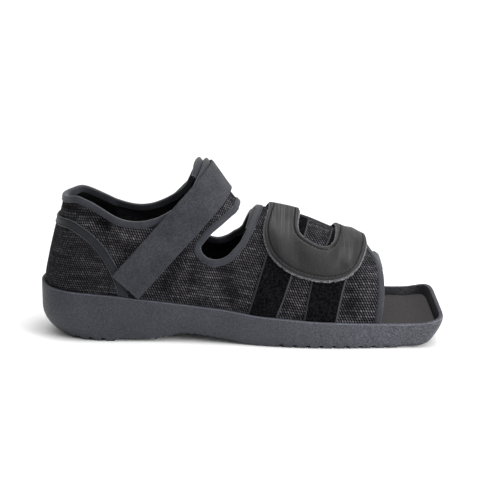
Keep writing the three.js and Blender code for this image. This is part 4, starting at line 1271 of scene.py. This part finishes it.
def stitch_row(name, path, hand, into, out, material, shift, length=1.9, pitch=2.7, radius=0.24):
    """Stitches along a path, as one mesh of short rounded threads."""
    edge, _, across = beside(path, pitch, hand)
    middle = onto_last(edge + across * into)
    out_way = outward(middle)
    middle = middle + out_way * (out + soft(shift)(middle))[:, None]
    along = unit(tangents(middle))
    across = unit(np.cross(along, out_way))
    verts = []
    for place, share in THREAD_PROFILE:
        for turn in np.arange(THREAD_SIDES) * 2 * math.pi / THREAD_SIDES:
            reach = share * radius
            verts.append(middle + along * (place * length) + across * (reach * math.cos(turn))
                         + out_way * (reach * math.sin(turn)))
    block = grid_faces(len(THREAD_PROFILE), THREAD_SIDES, closed=True).tolist()
    size = len(verts)
    block += [list(range(THREAD_SIDES)), list(range(size - THREAD_SIDES, size))[::-1]]
    faces = [[v + i * size for v in face] for i in range(len(middle)) for face in block]
    obj = mesh_object(name, np.stack(verts, axis=1).reshape(-1, 3), faces, [material])
    weld(obj, 0.001)
    finished(obj, None)


# Straps and closure
def build_strap():
    way = np.array([math.cos(math.radians(STRAP_ANGLE)), math.sin(math.radians(STRAP_ANGLE))])
    normal = np.array([-way[1], way[0]])
    foot = np.array([lengthwise(STRAP_FOOT), rim_top(lengthwise(STRAP_FOOT))]) + normal * STRAP_WIDTH / 2
    flat = foot + np.linspace(0.3, 125, 900)[:, None] * way
    half = last_half(flat[:, 0], flat[:, 1])
    flat, half = flat[half > 0], half[half > 0]
    lateral = np.stack([flat[:, 0], -half, flat[:, 1]], axis=-1)
    path = np.vstack([lateral, mirrored(lateral)])
    lift = lambda points: soft(settle)(points) + STRAP_LIFT * (1 - along_step(STRAP_LIFTED, points[:, 0]))
    section = [(into - STRAP_WIDTH / 2, out) for into, out in strap_section()]
    rings, along = ribbon(path, 1, section, lift)
    finished(tube("ankle_webbing", rings, along, WEBBING), "ankle_strap")


def strap_section(low=1.3, high=2.9, radius=0.6):
    section = rounded_bar(STRAP_WIDTH, low, high, radius)
    first, half = CORNER_STEPS + 1, 3 * (CORNER_STEPS + 1)
    top = [(into, high + 0.05) for into in np.linspace(2, STRAP_WIDTH - 2, 8)]
    bottom = [(into, low) for into in np.linspace(STRAP_WIDTH - 2, 2, 8)]
    return [*section[:first], *top, *section[first:half], *bottom, *section[half:]]


def build_loops():
    """Strips of pile: a fluffy top between two thin woven edges."""
    count_u, count_v = LOOP_STEPS
    for name, table in (("rear", REAR_LOOPS), ("front", FRONT_LOOPS)):
        rear, front = through(table, "up", "rear"), through(table, "up", "front")
        for side, label, short_by, shift in ((-1, "lateral", 0.14, no_shift), (1, "medial", 0.5, tuck)):
            turn = np.linspace(0.02, math.pi / 2 - short_by, count_u)
            turn, share = np.meshgrid(turn, np.linspace(0, 1, count_v), indexing="ij")
            up = np.sin(turn)
            x = lengthwise(mix(rear(up), front(up), share))
            z = np.maximum(section_at(x, turn)[1], rim_top(x) + GAP)
            grid = np.stack([x, side * last_half(x, z), z], axis=-1)
            piece = f"{name}_{label}_loop_strip"
            fluff = np.random.default_rng(len(piece)).uniform(0, 0.5, (count_u, count_v))
            fluff[:, :2] = fluff[:, -2:] = -0.25
            fluff[0] = fluff[-1] = -0.2
            faces = grid_faces(count_u, count_v)[:, :: -side]
            edged = np.zeros((count_u - 1, count_v - 1), int)
            edged[:, 0] = edged[:, -1] = 1
            heights = (GAP + OVERLAY + fluff.ravel(), 0.1)
            obj = layer(piece, grid, faces, heights, shift, [LOOPS, SELVEDGE], edged)
            finished(obj, f"{name}_{label}_loops")


def closure_loop(table, count):
    """A closed loop over both sides as (x, angle), from the ridge's rear down the lateral side and back."""
    flat = spline(side_points(table), 600)
    rise = rise_of(flat[:, 0], flat[:, 1])
    flat, rise = flat[rise < 1], rise[rise < 1]
    angle = np.arcsin(np.clip(rise, 0, 1) ** (section_round(flat[:, 0]) / 2))
    loop = np.stack([flat[:, 0], angle], axis=-1)
    loop[0, 1] = loop[-1, 1] = math.pi / 2
    along = distances(over_last(loop))
    at = np.linspace(0, along[-1], count + 1)
    lateral = np.stack([np.interp(at, along, loop[:, k]) for k in range(2)], axis=-1)
    medial = lateral * (1, -1) + (0, math.pi)
    return np.vstack([lateral[:-1], medial[::-1][:-1]])


def over_last(loop):
    """Points of the last's face at (x, angle), the angle from the lateral foot over to the medial one."""
    half, z = section_at(loop[..., 0], loop[..., 1])
    return np.stack([loop[..., 0], -half, z], axis=-1)


def closure_grid(margins, count, outward_by=0.0):
    """Rows of the ring from its rim to its hole, at set distances from either edge and evenly between."""
    rim, hole = closure_loop(CLOSURE_RIM, count), closure_loop(CLOSURE_HOLE, count)
    span = np.linalg.norm(over_last(rim) - over_last(hole), axis=1)
    shares = [(margin - outward_by) / span for margin in margins]
    middle = [np.full(len(span), share) for share in np.linspace(0.22, 0.78, CLOSURE_ROWS)]
    shares = [*shares, *middle, *[1 - share for share in shares[::-1]]]
    return np.stack([over_last(rim + (hole - rim) * share[:, None]) for share in shares])


def ring_body(name, grid, edge, middle, low, materials, node, edge_rows):
    """A closed ring over the last: heights for its rows from an edge inwards, then one for those between."""
    count_v, count_u = grid.shape[:2]
    high = np.repeat([*edge, *[middle] * CLOSURE_ROWS, *edge[::-1]], count_u)
    faces = grid_faces(count_v, count_u, closed=True)
    edged = np.zeros((count_v - 1, count_u), int)
    edged[:edge_rows] = edged[count_v - 1 - edge_rows :] = 1
    obj = layer(name, grid, faces, (high, low), settle, materials, edged)
    weld(obj, 0.001)
    sharpen(obj, 60)
    finished(obj, node)


def build_closure():
    margins = [0.0, 0.12, 0.35, 0.7, 1.2, 1.9, 2.4, 2.8, 3.2, 3.7, 4.4]
    groove = [0.0, 0.0, 0.0, 0.0, 0.0, 0.0, -0.2, -0.5, -0.2, 0.0, 0.0]
    edge = []
    for margin, dip in zip(margins, groove):
        drop = CLOSURE_EDGE - math.sqrt(max(0, CLOSURE_EDGE**2 - max(0, CLOSURE_EDGE - margin) ** 2))
        edge.append(CLOSURE_TOP - drop + dip)
    grid = closure_grid(margins, CLOSURE_STEPS)
    ring_body("closure_tab", grid, edge, CLOSURE_TOP, 2.75, [LEATHERETTE, CUT_EDGE], "forefoot_closure", 2)
    build_backing()
    for name, table, hand in (("rim", CLOSURE_RIM, -1), ("hole", CLOSURE_HOLE, 1)):
        loop = over_last(closure_loop(table, CLOSURE_STEPS))
        stitch_row(f"closure_{name}_stitches", np.vstack([loop, loop[:1]]), hand, 2.8, 3.7, DARK_THREAD,
                   settle, length=1.8, pitch=2.6, radius=0.38)


def build_backing():
    """The hooks' backing under the closure, with a ragged edge that shows round it."""
    grid = closure_grid([0.0, 0.4, 1.0, 2.0], 260, outward_by=0.9)
    ragged = np.random.default_rng(7).uniform(-0.35, 0.35, grid.shape[1])
    grid[0] += unit(grid[0] - grid[1]) * ragged[:, None]
    grid[-1] += unit(grid[-1] - grid[-2]) * ragged[::-1][:, None]
    ring_body("closure_hook_backing", grid, [2.3, 2.7, 2.72, 2.72], 2.72, 1.55, [HOOKS], None, 0)


# Stage, light and camera
CAMERA_TARGET = Vector((0.007, 0, 0.0598))
CAMERA_DISTANCE = 1.2
CAMERA_ELEVATION = math.radians(14)
FOCAL_WIDTHS = 1.362 * 1200 / 500  # focal length over the width of the frame
FLOOR = 20000


def aim(light, place, target):
    """A lamp that shines from a place at a target."""
    lamp = linked(bpy.data.objects.new(light.name, light))
    lamp.location = place
    lamp.rotation_mode = "QUATERNION"
    lamp.rotation_quaternion = (Vector(place) - Vector(target)).to_track_quat("Z", "Y")


def build_stage():
    corners = [(-FLOOR, -FLOOR, 0), (FLOOR, -FLOOR, 0), (FLOOR, FLOOR, 0), (-FLOOR, FLOOR, 0)]
    pale = Look("pale_floor", (0.92, 0.92, 0.92), 0.9, shine=0.1).material
    mesh_object("floor", corners, [(0, 1, 2, 3)], [pale])
    world = bpy.data.worlds.new("studio")
    world.use_nodes = True
    world.node_tree.nodes["Background"].inputs[0].default_value = (1, 1, 1, 1)
    world.node_tree.nodes["Background"].inputs[1].default_value = 0.5
    bpy.context.scene.world = world
    suns = [("key", (0.7, -1.0, 1.1), 45, 0.8), ("top", (0, 0.5, 1.8), 80, 1.5)]
    for name, place, spread, strength in suns:
        light = bpy.data.lights.new(name, "SUN")
        light.energy = strength
        light.angle = math.radians(spread)
        aim(light, place, (0, 0, 0))
    for name, place, target, size, power in (
        ("toe_box", (0.62, -0.45, 0.22), (0.13, 0, 0.02), 0.3, 5),
        ("overhead_box", (0.25, -0.1, 1.0), (0.07, 0, 0.05), 0.4, 4),
    ):
        light = bpy.data.lights.new(name, "AREA")
        light.energy = power
        light.size = size
        aim(light, place, target)
    bpy.context.scene.view_settings.view_transform = "Standard"
    data = bpy.data.cameras.new("camera")
    data.sensor_width = 36
    data.lens = FOCAL_WIDTHS * data.sensor_width
    camera = linked(bpy.data.objects.new("camera", data))
    back = Vector((0, -math.cos(CAMERA_ELEVATION), math.sin(CAMERA_ELEVATION)))
    camera.location = CAMERA_TARGET + back * CAMERA_DISTANCE
    camera.rotation_euler = (math.pi / 2 - CAMERA_ELEVATION, 0, 0)
    bpy.context.scene.camera = camera


build_stage()
build_sole()
build_insole()
build_upper()
build_counter()
build_bindings()
build_counter_tape()
build_strap()
build_loops()
build_closure()
